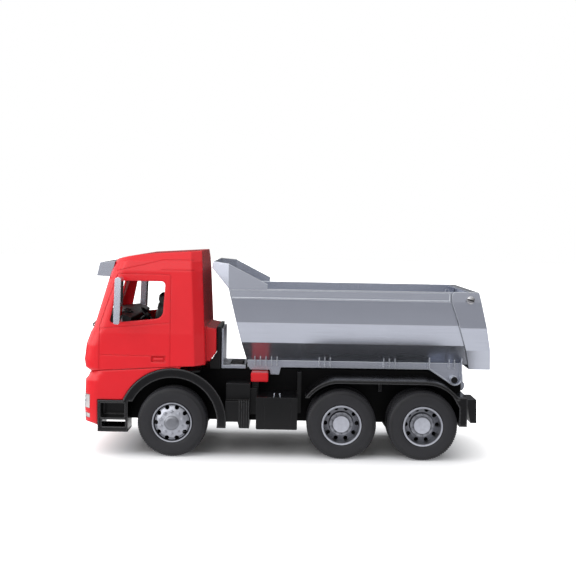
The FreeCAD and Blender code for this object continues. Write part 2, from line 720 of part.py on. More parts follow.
def cab_interior():
    """Black tray in the cab: floor, dashboard and two seats."""
    tray = prism("tray_profile", "side", [
        ("cab_nose_x + 32", "deck_z"),
        ("cab_nose_x + 32", "deck_z + 3"),
        ("cab_nose_x + 17", "deck_z + 6"),
        ("cab_nose_x + 17", "deck_z + 83"),
        ("cab_nose_x + 60", "deck_z + 88"),
        ("cab_nose_x + 78", "deck_z + 81", 3),
        ("cab_nose_x + 66", "deck_z + 55"),
        ("cab_nose_x + 50", "deck_z + 25"),
        ("cab_nose_x + 50", "deck_z + 3"),
        ("cab_rear_x - 8", "deck_z + 3"),
        ("cab_rear_x - 8", "deck_z"),
    ], -FAR, FAR)
    room = plan_loft("tray_limit", CAB_SECTIONS, "cab_wall + insert_gap")
    seat = prism("seat", "side", [
        ("cab_rear_x - 97", "deck_z + 2"),
        ("cab_rear_x - 97", "deck_z + 41"),
        ("cab_rear_x - 91", "deck_z + 47", 4),
        ("cab_rear_x - 71", "deck_z + 44"),
        ("cab_rear_x - 58", "deck_z + 111", 3),
        ("cab_rear_x - 45", "deck_z + 109", 3),
        ("cab_rear_x - 45", "deck_z + 2"),
    ], "cab_half_width - 81", "cab_half_width - 27")
    moulding = common("tray", tray, room)
    node("cab_interior", fuse("interior", moulding, pair("seats", seat)))
    return moulding


def steering_wheel(tray):
    """Ring, spoke and a column that ends on the dashboard."""
    ring = add("Part::Torus", "steering_ring")
    ring.Radius1 = 13
    ring.Radius2 = 1.7
    spoke = add("Part::Box", "steering_spoke")
    spoke.Length = 4
    spoke.Width = 26
    spoke.Height = 2
    spoke.Placement.Base = Vector(-2, -13, -1)
    column = add("Part::Cylinder", "steering_column")
    column.Radius = 2.2
    column.Height = 30
    column.Placement.Base = Vector(0, 0, -29)
    whole = fuse("steering", ring, spoke, column)
    whole.Placement = FreeCAD.Placement(Vector(), Rotation(Vector(0, 1, 0), 50))
    bind(whole, Placement__Base__x="cab_nose_x + 93", Placement__Base__y="54 - cab_half_width",
         Placement__Base__z="deck_z + 82")
    node("steering_wheel", cut("steering_fitted", whole, tray))


# lamps in each corner of the bumper: name, inner edge inside the cab's side, lower and upper edge
# below the deck
LAMPS = (("headlights", 39, 55, 35), ("fog_lamps", 33, 69.5, 63))


def bumper():
    """Red lower panel from the front to the wheel arches, with lamps let into its corners."""
    side_view = [
        ("cab_nose_x - 18", "bumper_floor_z"),
        ("cab_nose_x + 28", "bumper_floor_z"),
        ("cab_nose_x + 28", "deck_z - 41"),
        ("front_axle_x - 33", "deck_z - 41"),
        ("front_axle_x + 12", "deck_z + 9"),
        *reversed(door_foot("panel_gap")),
    ]
    skin = cut("bumper_skin", plan_loft("bumper_outer", BUMPER_SECTIONS, "0"),
               plan_loft("bumper_inner", BUMPER_SECTIONS, "cab_wall"))
    wheel_arch = cross_cylinder("bumper_arch", "front_axle_x", "tyre_radius",
                                "arch_outer_radius + panel_gap", -FAR, FAR)
    panel = common("bumper_panel", skin, prism("bumper_profile", "side", side_view, -FAR, FAR))
    openings = []
    for name, inner, low, high in LAMPS:
        edge = f"cab_half_width - {inner}"
        region = box(f"{name}_region", ("cab_nose_x - 18", "cab_nose_x + 16"),
                     (edge, "cab_half_width + 2"), (f"deck_z - {low}", f"deck_z - {high}"))
        opening = box(f"{name}_opening", ("cab_nose_x - 18", "cab_nose_x + 16 + insert_gap"),
                      (f"{edge} - insert_gap", "cab_half_width + 2"),
                      (f"deck_z - {low} - insert_gap", f"deck_z - {high} + insert_gap"))
        openings.append(pair(f"{name}_openings", opening))
        node(name, common(f"{name}_lenses", skin, pair(f"{name}_regions", region)))
    node("front_bumper", cut("bumper", cut("bumper_trimmed", panel, wheel_arch), *openings))


def grille(cab_outer, cab_hollow):
    """Black insert behind the opening of the cab's front, with slats that reach the skin."""
    rim_line = [(53, "deck_z + 8"), (57, "deck_z + 54")]
    region = prism("grille_region", "end", rim_line + across(rim_line), "cab_nose_x - 18",
                   "cab_nose_x + 12")
    slats = [box(f"grille_slat_{index}", ("cab_nose_x - 18", "cab_nose_x + 11"), (-49, 49),
                 (f"deck_z + 14.5 + {8 * index}", f"deck_z + 17.5 + {8 * index}"))
             for index in range(4)]
    skin = common("grille_slats", fuse("grille_slat_set", *slats), cab_outer)
    node("grille_insert", fuse("grille", common("grille_frame", region, cab_hollow), skin))


def visor(cab_outer):
    """Sun visor over the windscreen's upper edge: roof, sloping front and two end plates."""
    front_foot = ("cab_nose_x + 22.6", "deck_z + 142.2")
    front_top = ("cab_nose_x + 27.4", "deck_z + 162.6")
    whole = prism("visor_whole", "side", [
        front_foot,
        ("cab_nose_x + 45", "deck_z + 141.1"),
        ("cab_nose_x + 50", "deck_z + 163.8"),
        (*front_top, 2),
    ], "19 - cab_half_width", "cab_half_width - 19")
    inside = prism("visor_inside", "side", [
        (f"{front_foot[0]} + visor_wall", f"{front_foot[1]} - 5"),
        ("cab_nose_x + 60", f"{front_foot[1]} - 5"),
        ("cab_nose_x + 60", f"{front_top[1]} - visor_wall"),
        (f"{front_top[0]} + visor_wall", f"{front_top[1]} - visor_wall"),
    ], "19 - cab_half_width + visor_wall", "cab_half_width - 19 - visor_wall")
    node("sun_visor", cut("visor", whole, inside, cab_outer))


def mirrors(cab_outer):
    """Mirror head on two arms that end on the door's skin."""
    near, far = "-(cab_half_width + 14)", "-(cab_half_width + 38)"
    face = prism("mirror_face", "side", [
        ("cab_nose_x + 57", "deck_z + 75", 3),
        ("cab_nose_x + 66.5", "deck_z + 75", 3),
        ("cab_nose_x + 69", "deck_z + 143", 4),
        ("cab_nose_x + 59.5", "deck_z + 143", 5),
    ], far, near)
    plan = prism("mirror_plan", "plan", [
        ("cab_nose_x + 56", far + " + 5", 4),
        ("cab_nose_x + 70", far),
        ("cab_nose_x + 70", near),
        ("cab_nose_x + 56", near),
    ], "deck_z + 70", "deck_z + 150")
    pieces = [common("mirror_head", face, plan)]
    for index, low in enumerate(("deck_z + 79", "deck_z + 131")):
        pieces.append(box(f"mirror_arm_{index}", ("cab_nose_x + 60", "cab_nose_x + 65"),
                          ("-(cab_half_width + 18)", "17 - cab_half_width"), (low, f"{low} + 4")))
        pieces.append(box(f"mirror_cap_{index}", ("cab_nose_x + 58.5", "cab_nose_x + 67"),
                          ("-(cab_half_width + 16)", "-(cab_half_width + 10.5)"),
                          (f"{low} - 1.5", f"{low} + 5.5")))
    whole = cut("mirror", fuse("mirror_whole", *pieces), cab_outer)
    node("mirror_left", whole)
    node("mirror_right", mirrored("mirror_copy", whole))


# ---------------------------------------------------------------- black side mouldings

def front_fender():
    """Wheel arch with its liner, and the step in front of it."""
    face = "-moulding_outer_y"
    ring = cut("arch_face", cross_cylinder("arch_face_disc", "front_axle_x", "tyre_radius",
                                           "arch_outer_radius", face, f"{face} + moulding_wall"),
               cross_cylinder("arch_face_eye", "front_axle_x", "tyre_radius", "arch_inner_radius",
                              -FAR, 0))
    liner = cut("arch_liner",
                cross_cylinder("arch_liner_disc", "front_axle_x", "tyre_radius",
                               "arch_inner_radius + moulding_wall", face, "-chassis_half_width"),
                cross_cylinder("arch_liner_eye", "front_axle_x", "tyre_radius",
                               "arch_inner_radius", -FAR, 0))
    sector = prism("arch_sector", "side", [
        ("cab_nose_x + 12", "deck_z - 43"),
        ("cab_nose_x + 12", "deck_z + 15"),
        ("front_axle_x + 112", "deck_z + 15"),
        ("front_axle_x + 112", "chassis_floor_z"),
        ("front_axle_x", "chassis_floor_z"),
        ("front_axle_x", "deck_z - 43"),
    ], -FAR, 0)
    arch = common("arch", fuse("arch_rings", ring, liner), sector)
    above = box("arch_under_cab", ("cab_nose_x - 18", 0), (-FAR, 0), ("cab_sill_z + 5.2", FAR))
    step = box("step_block", ("cab_nose_x + 29", "step_rear_x"), (face, f"{face} + 39"),
               ("deck_z - 89", "deck_z - 42"))
    recess = box("step_recess", ("cab_nose_x + 33", "step_rear_x - 4.5"), (-FAR, f"{face} + 25"),
                 ("deck_z - 68", "deck_z - 46"))
    slot = box("step_slot", ("cab_nose_x + 35", "step_rear_x - 3.5"), (-FAR, f"{face} + 49"),
               ("deck_z - 81.5", "deck_z - 71"))
    steps = cut("step", step, recess, slot)
    whole = cut("fender", fuse("fender_whole", arch, steps), above)
    node("front_fender_left", whole)
    node("front_fender_right", mirrored("fender_copy", whole))


def side_boxes():
    """Battery box and tool box hung on the side of the chassis."""
    inner = "-chassis_half_width"
    face = "-moulding_outer_y + 1"
    battery = prism("battery_box", "side", [
        ("battery_front_x", "deck_z - 72"),
        ("battery_rear_x - 17.5", "deck_z - 72"),
        ("battery_rear_x - 14.5", "deck_z - 81.5"),
        ("battery_rear_x", "deck_z - 81.5"),
        ("battery_rear_x", "deck_z - 41"),
        ("battery_front_x", "deck_z - 41"),
    ], f"{face} + 3", inner)
    battery_top = box("battery_top", ("battery_front_x", "battery_rear_x"), (f"{face} + 18", inner),
                      ("deck_z - 41", "deck_z - 17"))
    link = box("box_link", ("battery_rear_x", "tool_box_front_x"), (f"{face} + 28", inner),
               ("deck_z - 65", "deck_z - 25"))
    tool_box = prism("tool_box_block", "side", [
        ("tool_box_front_x", "deck_z - 82", 2),
        ("tool_box_rear_x", "deck_z - 82", 2),
        ("tool_box_rear_x", "deck_z - 34"),
        ("tool_box_front_x", "deck_z - 34"),
    ], face, inner)
    lines = [box(f"lid_line_{index}", (place, f"{place} + groove_width"),
                 (f"{face} - 1", f"{face} + groove_depth"), ("deck_z - 83", "deck_z - 33"))
             for index, place in enumerate(("tool_box_front_x + 11.8", "tool_box_rear_x - 10.5"))]
    front_post = box("front_post", ("battery_rear_x + 2", "tool_box_front_x + 2"), (-56, -43),
                     ("deck_z - 35", "deck_z - 18"))
    rear_post = box("rear_post", ("tool_box_rear_x", "tool_box_rear_x + 6"), (-56, -43),
                    ("deck_z - 35", "deck_z - 2"))
    rear_foot = box("rear_post_foot", ("tool_box_rear_x - 1", "tool_box_rear_x + 6"), (-56, inner),
                    ("deck_z - 65", "deck_z - 33"))
    whole = fuse("boxes", battery, battery_top, link, cut("tool_box", tool_box, *lines), front_post,
                 rear_post, rear_foot)
    node("side_boxes_left", whole)
    node("side_boxes_right", mirrored("boxes_copy", whole))


def rear_mudguard():
    """One mudguard over both rear wheels: skin with a grooved outer band, hanger, rear skirt."""
    low = "guard_tip_z - 18"
    arch = [
        ("middle_axle_x - tyre_radius - 14", low),
        ("rear_axle_x + tyre_radius + 14", low),
        ("rear_axle_x + tyre_radius - 15", "guard_top_z", "tyre_radius + 8"),
        ("middle_axle_x - tyre_radius + 15", "guard_top_z", "tyre_radius + 8"),
    ]
    outer, inner = "-tyre_outer_y", "-guard_inner_y"

    def layer(name, start, end, inset=None):
        return prism(name, "side", arch, start, end, inset)

    under_skin = layer("guard_space", f"{outer} + moulding_wall", f"{inner} + 1", "guard_skin")
    under_band = layer("guard_eye", f"{outer} - 1", f"{outer} + moulding_wall", "guard_band")
    groove = cut("guard_groove", layer("groove_outer", f"{outer} - 1", f"{outer} + 0.8", "guard_lip"),
                 layer("groove_inner", f"{outer} - 1", f"{outer} + 0.8", "guard_band - guard_lip"))
    below = box("guard_below", ("middle_axle_x - tyre_radius - 30", "rear_axle_x + tyre_radius + 30"),
                (-FAR, 0), (0, "guard_tip_z"))
    shell = cut("guard_shell", layer("guard_block", outer, inner), under_skin, under_band, groove,
                below)
    hanger = box("guard_hanger", ("bogie_x - 2.5", "bogie_x + 2.5"),
                 (f"{inner} - 14", "-chassis_half_width"), ("guard_top_z - 24", "guard_top_z - 1"))
    skirt_front = "rear_axle_x + tyre_radius + skirt_clearance"
    skirt = prism("guard_skirt", "side", [
        (skirt_front, "tyre_radius"),
        ("skirt_rear_x", "tyre_radius"),
        ("skirt_rear_x", "guard_tip_z + 4"),
        (f"{skirt_front} - 10", "guard_tip_z + 4"),
        (skirt_front, "guard_tip_z - 12"),
    ], f"{outer} + 4", "-chassis_half_width")
    whole = fuse("guard", shell, hanger, skirt)
    node("rear_mudguard_left", whole)
    node("rear_mudguard_right", mirrored("guard_copy", whole))
    flap = prism("flap", "side", [
        ("skirt_rear_x", "guard_tip_z + 1"),
        ("skirt_rear_x + 13", "guard_tip_z + 1"),
        ("skirt_rear_x + 14", "tyre_radius + 6"),
        ("skirt_rear_x + 5", "tyre_radius + 6"),
        ("skirt_rear_x", "tyre_radius + 32"),
    ], f"{outer} + 4", f"{outer} + 50")
    node("mudflap_left", flap)
    node("mudflap_right", mirrored("flap_copy", flap))


# ---------------------------------------------------------------- behind the cab and underneath

def intake_tower():
    node("intake_tower", prism("tower", "side", [
        ("cab_rear_x + 4", "deck_z"),
        ("cab_rear_x + 4", "deck_z + 10"),
        ("cab_rear_x + 14.5", "deck_z + 24"),
        ("cab_rear_x + 14.5", "deck_z + 65"),
        ("cab_rear_x + 19.7", "deck_z + 65"),
        ("cab_rear_x + 19.7", "deck_z"),
    ], -46, 46))


def subframe():
    """Grey headboard behind the cab on its foot plate, and the catch at the rear."""
    plate = box("foot_plate", ("foot_front_x", "foot_rear_x"), ("-sill_outer_y", "sill_outer_y"),
                ("deck_z", "deck_z + foot_wall"))
    recess = prism("foot_recess", "plan", [
        ("foot_rear_x - 25", "2 - sill_outer_y"),
        ("foot_rear_x - 1.5", "2 - sill_outer_y"),
        ("foot_rear_x - 6.5", "6.3 - chassis_half_width"),
        ("foot_rear_x - 24.5", "6.3 - chassis_half_width"),
    ], "deck_z + foot_wall - 3", "deck_z + foot_wall + 1")
    hole = add("Part::Cylinder", "foot_hole")
    bind(hole, Radius="2.6", Height="foot_wall + 1", Placement__Base__x="foot_front_x + 5.8",
         Placement__Base__y="18.5 - chassis_half_width", Placement__Base__z="deck_z + 1.8")
    foot = cut("foot", plate, pair("foot_recesses", recess), pair("foot_holes", hole))
    headboard = box("headboard", ("foot_front_x - 0.3", "foot_front_x + 2.7"),
                    ("-sill_outer_y", "sill_outer_y"), ("deck_z", "deck_z + 61"))
    node("subframe", fuse("subframe_whole", foot, headboard))
    node("rear_catch", prism("catch", "side", [
        ("chassis_rear_x", "deck_z - 31"),
        ("chassis_rear_x", "deck_z - 1"),
        ("chassis_rear_x + 5", "deck_z - 5"),
        ("chassis_rear_x + 5.5", "deck_z - 17"),
        ("chassis_rear_x + 8", "deck_z - 20"),
        ("chassis_rear_x + 8", "deck_z - 26", 2),
        ("chassis_rear_x + 5", "deck_z - 31"),
    ], -22, 22))


def release_lever():
    """Thumb lever on the left of the chassis, under the dump body's front latch."""
    front, rear = "bed_front_x + 7.4", "bed_front_x + 33.8"
    low, high = "deck_z - 16.6", "deck_z - 2.4"
    node("release_lever", prism("lever", "side", [(front, low, 2), (rear, low, 2), (rear, high, 2),
                                                  (front, high, 2)], -62, "-chassis_half_width"))


# ---------------------------------------------------------------- dump body

def bed_walls(name, low, high, inset=None):
    """The dump body's section along X, its walls moved inwards by the inset, open above."""
    half = [
        ("bed_floor_y", "bed_floor_z"),
        ("bed_heel_y", "bed_heel_z"),
        ("bed_knee_y", "bed_knee_z"),
        ("bed_half_width", "rail_floor_z"),
        ("bed_half_width", "bed_rail_z + 20"),
    ]
    return prism(name, "end", half + across(half), low, high, inset)


def bed_silhouette(name, top, reach, inset=None, rear_corner=()):
    """Side view of the dump body between its leaning front wall and a rear edge that runs along
    the tailgate, moved back by reach."""
    gate_lean = "gate_slant / (bed_rail_z - gate_foot_z)"
    front_lean = "bed_front_slope / bed_height"
    rear = f"gate_top_x - gate_plate - gate_gap + {reach}"
    return prism(name, "side", [
        ("bed_front_x", "bed_floor_z"),
        (f"{rear} + {gate_lean} * bed_height", "bed_floor_z"),
        (f"{rear} - {gate_lean} * {top}", f"bed_rail_z + {top}", *rear_corner),
        (f"rail_front_x - {front_lean} * {top}", f"bed_rail_z + {top}"),
    ], -FAR, FAR, inset)


def rails():
    """Rails along both sides of the dump body, their faces framed by lips."""
    face = [
        ("rail_front_x + bed_front_slope / bed_height * rail_height", "rail_floor_z"),
        ("rail_rear_x", "rail_floor_z"),
        ("rail_rear_x", "bed_rail_z"),
        ("rail_front_x", "bed_rail_z"),
    ]
    rail = prism("rail_block", "side", face, "bed_half_width - bed_wall", "rail_outer_y")
    recess = prism("rail_face", "side", face, "rail_outer_y - rail_recess", "rail_outer_y + 1",
                   "rail_lip")
    return pair("rails", cut("rail", rail, recess))


def gate_space():
    """The room that the tailgate's flange needs outside the dump body's rear end."""
    zone = prism("gate_space_zone", "side", [
        ("gate_foot_x - 34.5", "bed_floor_z - 1"),
        ("rail_rear_x", "gate_hinge_z - 2"),
        ("rail_rear_x", "bed_rail_z + 10"),
        ("gate_foot_x + 20", "bed_rail_z + 10"),
        ("gate_foot_x + 20", "bed_floor_z - 1"),
    ], -FAR, FAR)
    return cut("gate_space", zone, bed_walls("gate_space_walls", 0, FAR, "gate_relief"))


def canopy():
    """Hood over the cab's roof: leaning front, slanted corners and wings that fall rearwards."""
    lean = "(rail_front_x - canopy_tip_x) / (canopy_rise - 9.6)"
    side = prism("canopy_side", "side", [
        (f"rail_front_x + {lean}", "bed_rail_z - 1"),
        ("canopy_tail_x", "bed_rail_z - 1"),
        ("canopy_tail_x + 1", "bed_rail_z + 7"),
        ("canopy_tip_x + canopy_corner", "canopy_tip_z - 2.7"),
        ("canopy_tip_x + 2", "canopy_tip_z"),
        ("canopy_tip_x", "canopy_tip_z - 9.6"),
    ], -FAR, FAR)
    space = prism("canopy_space_side", "side", [
        (f"rail_front_x + 20 * {lean}", "bed_rail_z - 20"),
        ("canopy_tail_x + 40", "bed_rail_z - 20"),
        ("canopy_tail_x + 40", "canopy_tip_z + 30"),
        ("canopy_tip_x", "canopy_tip_z + 30"),
        ("canopy_tip_x", "canopy_tip_z - 9.6"),
    ], -FAR, FAR, "bed_wall")
    half = [
        ("canopy_tail_x + 60", "rail_outer_y"),
        ("canopy_tip_x + canopy_corner", "rail_outer_y"),
        ("canopy_tip_x", "bed_half_width - 16"),
    ]
    plan = half + [(x, negative(y)) for x, y in reversed(half)]
    outer = common("canopy_outer", side, prism("canopy_plan", "plan", plan, 0, FAR))
    inner = common("canopy_inner", space, prism("canopy_space_plan", "plan", plan, 0, FAR,
                                                "bed_wall"))
    return cut("canopy", outer, inner)


def dump_body():
    """Half-octagon tub with its rails, and the canopy over its front wall."""
    outer = common("tub_outer", bed_walls("tub_walls", -FAR, FAR),
                   bed_silhouette("tub_side", 0, 0, rear_corner=(11,)))
    inner = common("tub_inner", bed_walls("tub_hollow_walls", -FAR, FAR, "bed_wall"),
                   bed_silhouette("tub_hollow_side", 30, 40, "bed_wall"))
    tub = cut("tub", fuse("tub_with_rails", outer, rails()), inner)
    bore = cross_cylinder("stud_bore", "gate_hinge_x", "gate_hinge_z", "gate_stud_radius", -FAR, FAR)
    node("dump_body", cut("dump_body_whole", fuse("tub_and_canopy", tub, canopy()), bore,
                          gate_space()))
    return outer


# Ribs outside a sill: reference place, middle rib from there, number of ribs, spacing.
SILL_RIBS = (
    ("bed_front_x", 29.6, 5, 8.6),
    ("bed_front_x", 120.4, 3, 8.4),
    ("pivot_x", -100, 3, 8.7),
    ("pivot_x", -3.9, 2, 8),
)
# Bars between the sills: reference place, front face from there.
CROSS_BARS = (("bed_front_x", 4.6), ("bed_front_x", 104.6), ("pivot_x", -135), ("pivot_x", -55))


def tipping_bracket(inner, outer):
    """Plate with raised edges round it and a boss for the tipping pin."""
    edge = [
        ("pivot_x - 39.9", "bed_floor_z + 16"),
        ("pivot_x - 39.9", "pivot_z + 15.4"),
        ("pivot_x + 11.7", "pivot_z - 18.3", 11),
        ("pivot_x + 11.7", "bed_floor_z + 16"),
    ]
    block = prism("bracket_block", "side", edge, inner, "bracket_outer_y")
    pocket = prism("bracket_pocket", "side", edge, outer, "bracket_outer_y + 1", "sill_wall")
    boss = cross_cylinder("bracket_boss", "pivot_x", "pivot_z", "pivot_pin_radius + 2.5", inner,
                          "bracket_outer_y")
    return fuse("tipping_bracket", cut("bracket_plate", block, pocket), boss)


def bed_underframe(tub_outer):
    """Sills under the floor with the front latch brackets and the tipping brackets."""
    outer, inner = "sill_outer_y", "sill_outer_y - sill_wall"
    sill = box("sill_plate", ("bed_front_x + 1", "pivot_x + 11.7"), (inner, outer),
               ("sill_floor_z", "bed_floor_z + 8"))
    flange = box("sill_flange", ("bed_front_x + 1", "pivot_x - 45"), ("sill_outer_y - 11", inner),
                 ("sill_floor_z", "sill_floor_z + sill_wall"))
    keel = box("sill_keel", ("bed_front_x + 1", "pivot_x - 25"),
               ("sill_outer_y - 11 - sill_wall", "sill_outer_y - 11"),
               ("sill_floor_z", "bed_floor_z"))
    latch = prism("latch_bracket", "side", [
        ("bed_front_x + 1", "deck_z + 7"),
        ("bed_front_x + 5.4", "deck_z - 1.4"),
        ("bed_front_x + 35.7", "deck_z - 1.4"),
        ("bed_front_x + 36.9", "deck_z - 8.6"),
        ("bed_front_x + 49.9", "deck_z - 8.6"),
        ("bed_front_x + 53.6", "deck_z + 7"),
    ], inner, outer)
    ribs = []
    for group, (reference, middle, count, spacing) in enumerate(SILL_RIBS):
        for index in range(count):
            place = f"{reference} + {middle + (index - (count - 1) / 2) * spacing}"
            ribs.append(box(f"rib_{group}_{index}",
                            (f"{place} - gusset_wall / 2", f"{place} + gusset_wall / 2"),
                            (f"{outer} - 1", f"{outer} + gusset_reach"),
                            ("sill_floor_z + 2.7", "bed_floor_z + 13")))
    solid = fuse("underframe_side", sill, flange, keel, latch, tipping_bracket(inner, outer), *ribs)
    eye = cross_cylinder("tipping_eye", "pivot_x", "pivot_z", "pivot_pin_radius + running_gap",
                         -FAR, FAR)
    bars = [box(f"cross_bar_{index}", (f"{reference} + {start}", f"{reference} + {start} + 3"),
                (negative(inner), inner), ("sill_floor_z + 3", "bed_floor_z"))
            for index, (reference, start) in enumerate(CROSS_BARS)]
    whole = fuse("underframe", pair("underframe_sides", solid), *bars)
    node("bed_underframe", cut("underframe_fitted", whole, tub_outer, eye))


def tailgate():
    """Leaning plate with flanges that wrap round the end of the dump body, and its hinge studs."""
    lean = "gate_slant / (bed_rail_z - gate_foot_z)"

    def section(name, top, inset=None):
        half = [
            ("bed_floor_y + 2.5", "gate_foot_z"),
            ("bed_heel_y + 5", "bed_heel_z - 6"),
            ("bed_knee_y + 5", "bed_knee_z - 2.5"),
            ("rail_outer_y", "rail_floor_z"),
            ("rail_outer_y", f"bed_rail_z + {top}"),
        ]
        return prism(name, "end", half + across(half), 0, FAR, inset)

    outer = common("gate_outer", section("gate_section", 0), prism("gate_side", "side", [
        ("gate_foot_x - 33", "gate_foot_z"),
        ("gate_foot_x", "gate_foot_z"),
        ("gate_top_x", "bed_rail_z"),
        ("gate_hinge_x - 26.8", "bed_rail_z", 5),
        ("gate_hinge_x - 26.8", "gate_hinge_z - 2"),
    ], -FAR, FAR))
    hollow = common("gate_hollow", section("gate_hollow_section", 20, "gate_wall"),
                    prism("gate_hollow_side", "side", [
                        (0, "gate_foot_z - 5"),
                        (f"gate_foot_x - gate_plate + {lean} * 5", "gate_foot_z - 5"),
                        (f"gate_top_x - gate_plate - {lean} * 20", "bed_rail_z + 20"),
                        (0, "bed_rail_z + 20"),
                    ], -FAR, FAR))
    ledge_end = "bed_half_width - bed_wall - 0.8"
    ledge = box("gate_ledge", ("gate_hinge_x + 0.6", "gate_top_x - 1"),
                (negative(ledge_end), ledge_end), ("bed_rail_z - 2.5", "bed_rail_z"))
    eye = cross_cylinder("gate_eye", "gate_hinge_x", "gate_hinge_z",
                         "gate_stud_radius + running_gap", -FAR, FAR)
    node("tailgate", cut("gate", fuse("gate_with_ledge", cut("gate_shell", outer, hollow), ledge),
                         eye))
    shank = cross_cylinder("stud_shank", "gate_hinge_x", "gate_hinge_z", "gate_stud_radius",
                           "bed_half_width - bed_wall", "rail_outer_y + 2")
    head = cross_cylinder("stud_head", "gate_hinge_x", "gate_hinge_z", "gate_head_radius",
                          "rail_outer_y + insert_gap", "rail_outer_y + 4.5")
    node("gate_studs", pair("studs", fuse("stud", shank, head)))


# ---------------------------------------------------------------- assembly and export

def build():
    wheels()
    chassis()
    tipping_pin()
    cab_outer, cab_hollow = cab()
    steering_wheel(cab_interior())
    bumper()
    grille(cab_outer, cab_hollow)
    visor(cab_outer)
    mirrors(cab_outer)
    front_fender()
    side_boxes()
    rear_mudguard()
    intake_tower()
    subframe()
    release_lever()
    bed_underframe(dump_body())
    tailgate()
    doc.recompute()


def check():
    """Stops when an object has failed or a sub-part has no valid solid."""
    for item in doc.Objects:
        if {"Invalid", "Error"} & set(item.State):
            raise RuntimeError(f"{item.Name} failed: {item.State}")
    for part in NODES:
        if part.Shape.isNull() or not part.Shape.isValid() or not part.Shape.Solids:
            raise RuntimeError(f"{part.Label} has no valid solid")


def export():
    os.makedirs("parts", exist_ok=True)
    for part in NODES:
        part.Shape.exportStep(f"parts/{part.Label}.step")


build()
check()
export()
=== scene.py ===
"""Looks of the toy dump truck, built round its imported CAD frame.

Metres. The truck faces -X, its left side is -Y and +Z is up; the floor is at Z = 0.
"""

import json
import math

import bmesh
import bpy
from mathutils import Matrix, Vector

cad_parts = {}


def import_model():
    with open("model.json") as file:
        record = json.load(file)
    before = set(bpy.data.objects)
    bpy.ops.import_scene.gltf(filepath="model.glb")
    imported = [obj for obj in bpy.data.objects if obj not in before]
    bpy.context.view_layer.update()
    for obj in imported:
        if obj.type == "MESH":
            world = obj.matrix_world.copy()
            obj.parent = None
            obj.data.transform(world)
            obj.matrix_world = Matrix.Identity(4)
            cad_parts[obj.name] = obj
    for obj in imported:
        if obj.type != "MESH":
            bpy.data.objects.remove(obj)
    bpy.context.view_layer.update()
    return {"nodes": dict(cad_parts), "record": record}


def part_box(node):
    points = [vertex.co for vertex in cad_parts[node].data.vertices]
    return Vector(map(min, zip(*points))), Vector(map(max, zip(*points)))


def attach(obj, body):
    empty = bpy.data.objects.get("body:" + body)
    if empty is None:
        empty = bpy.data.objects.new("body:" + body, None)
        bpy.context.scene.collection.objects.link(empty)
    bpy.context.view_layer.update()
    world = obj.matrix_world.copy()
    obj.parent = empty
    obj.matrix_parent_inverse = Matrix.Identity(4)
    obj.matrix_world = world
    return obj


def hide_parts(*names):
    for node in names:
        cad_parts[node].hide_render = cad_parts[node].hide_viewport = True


MM = 0.001
SIDES = {"left": -1, "right": 1}  # which way from the truck's middle, along Y
WHEELS = [(axle, side) for axle in ("front", "middle", "rear") for side in SIDES]

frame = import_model()
NODES = frame["nodes"]


# ---------------------------------------------------------------- shader building

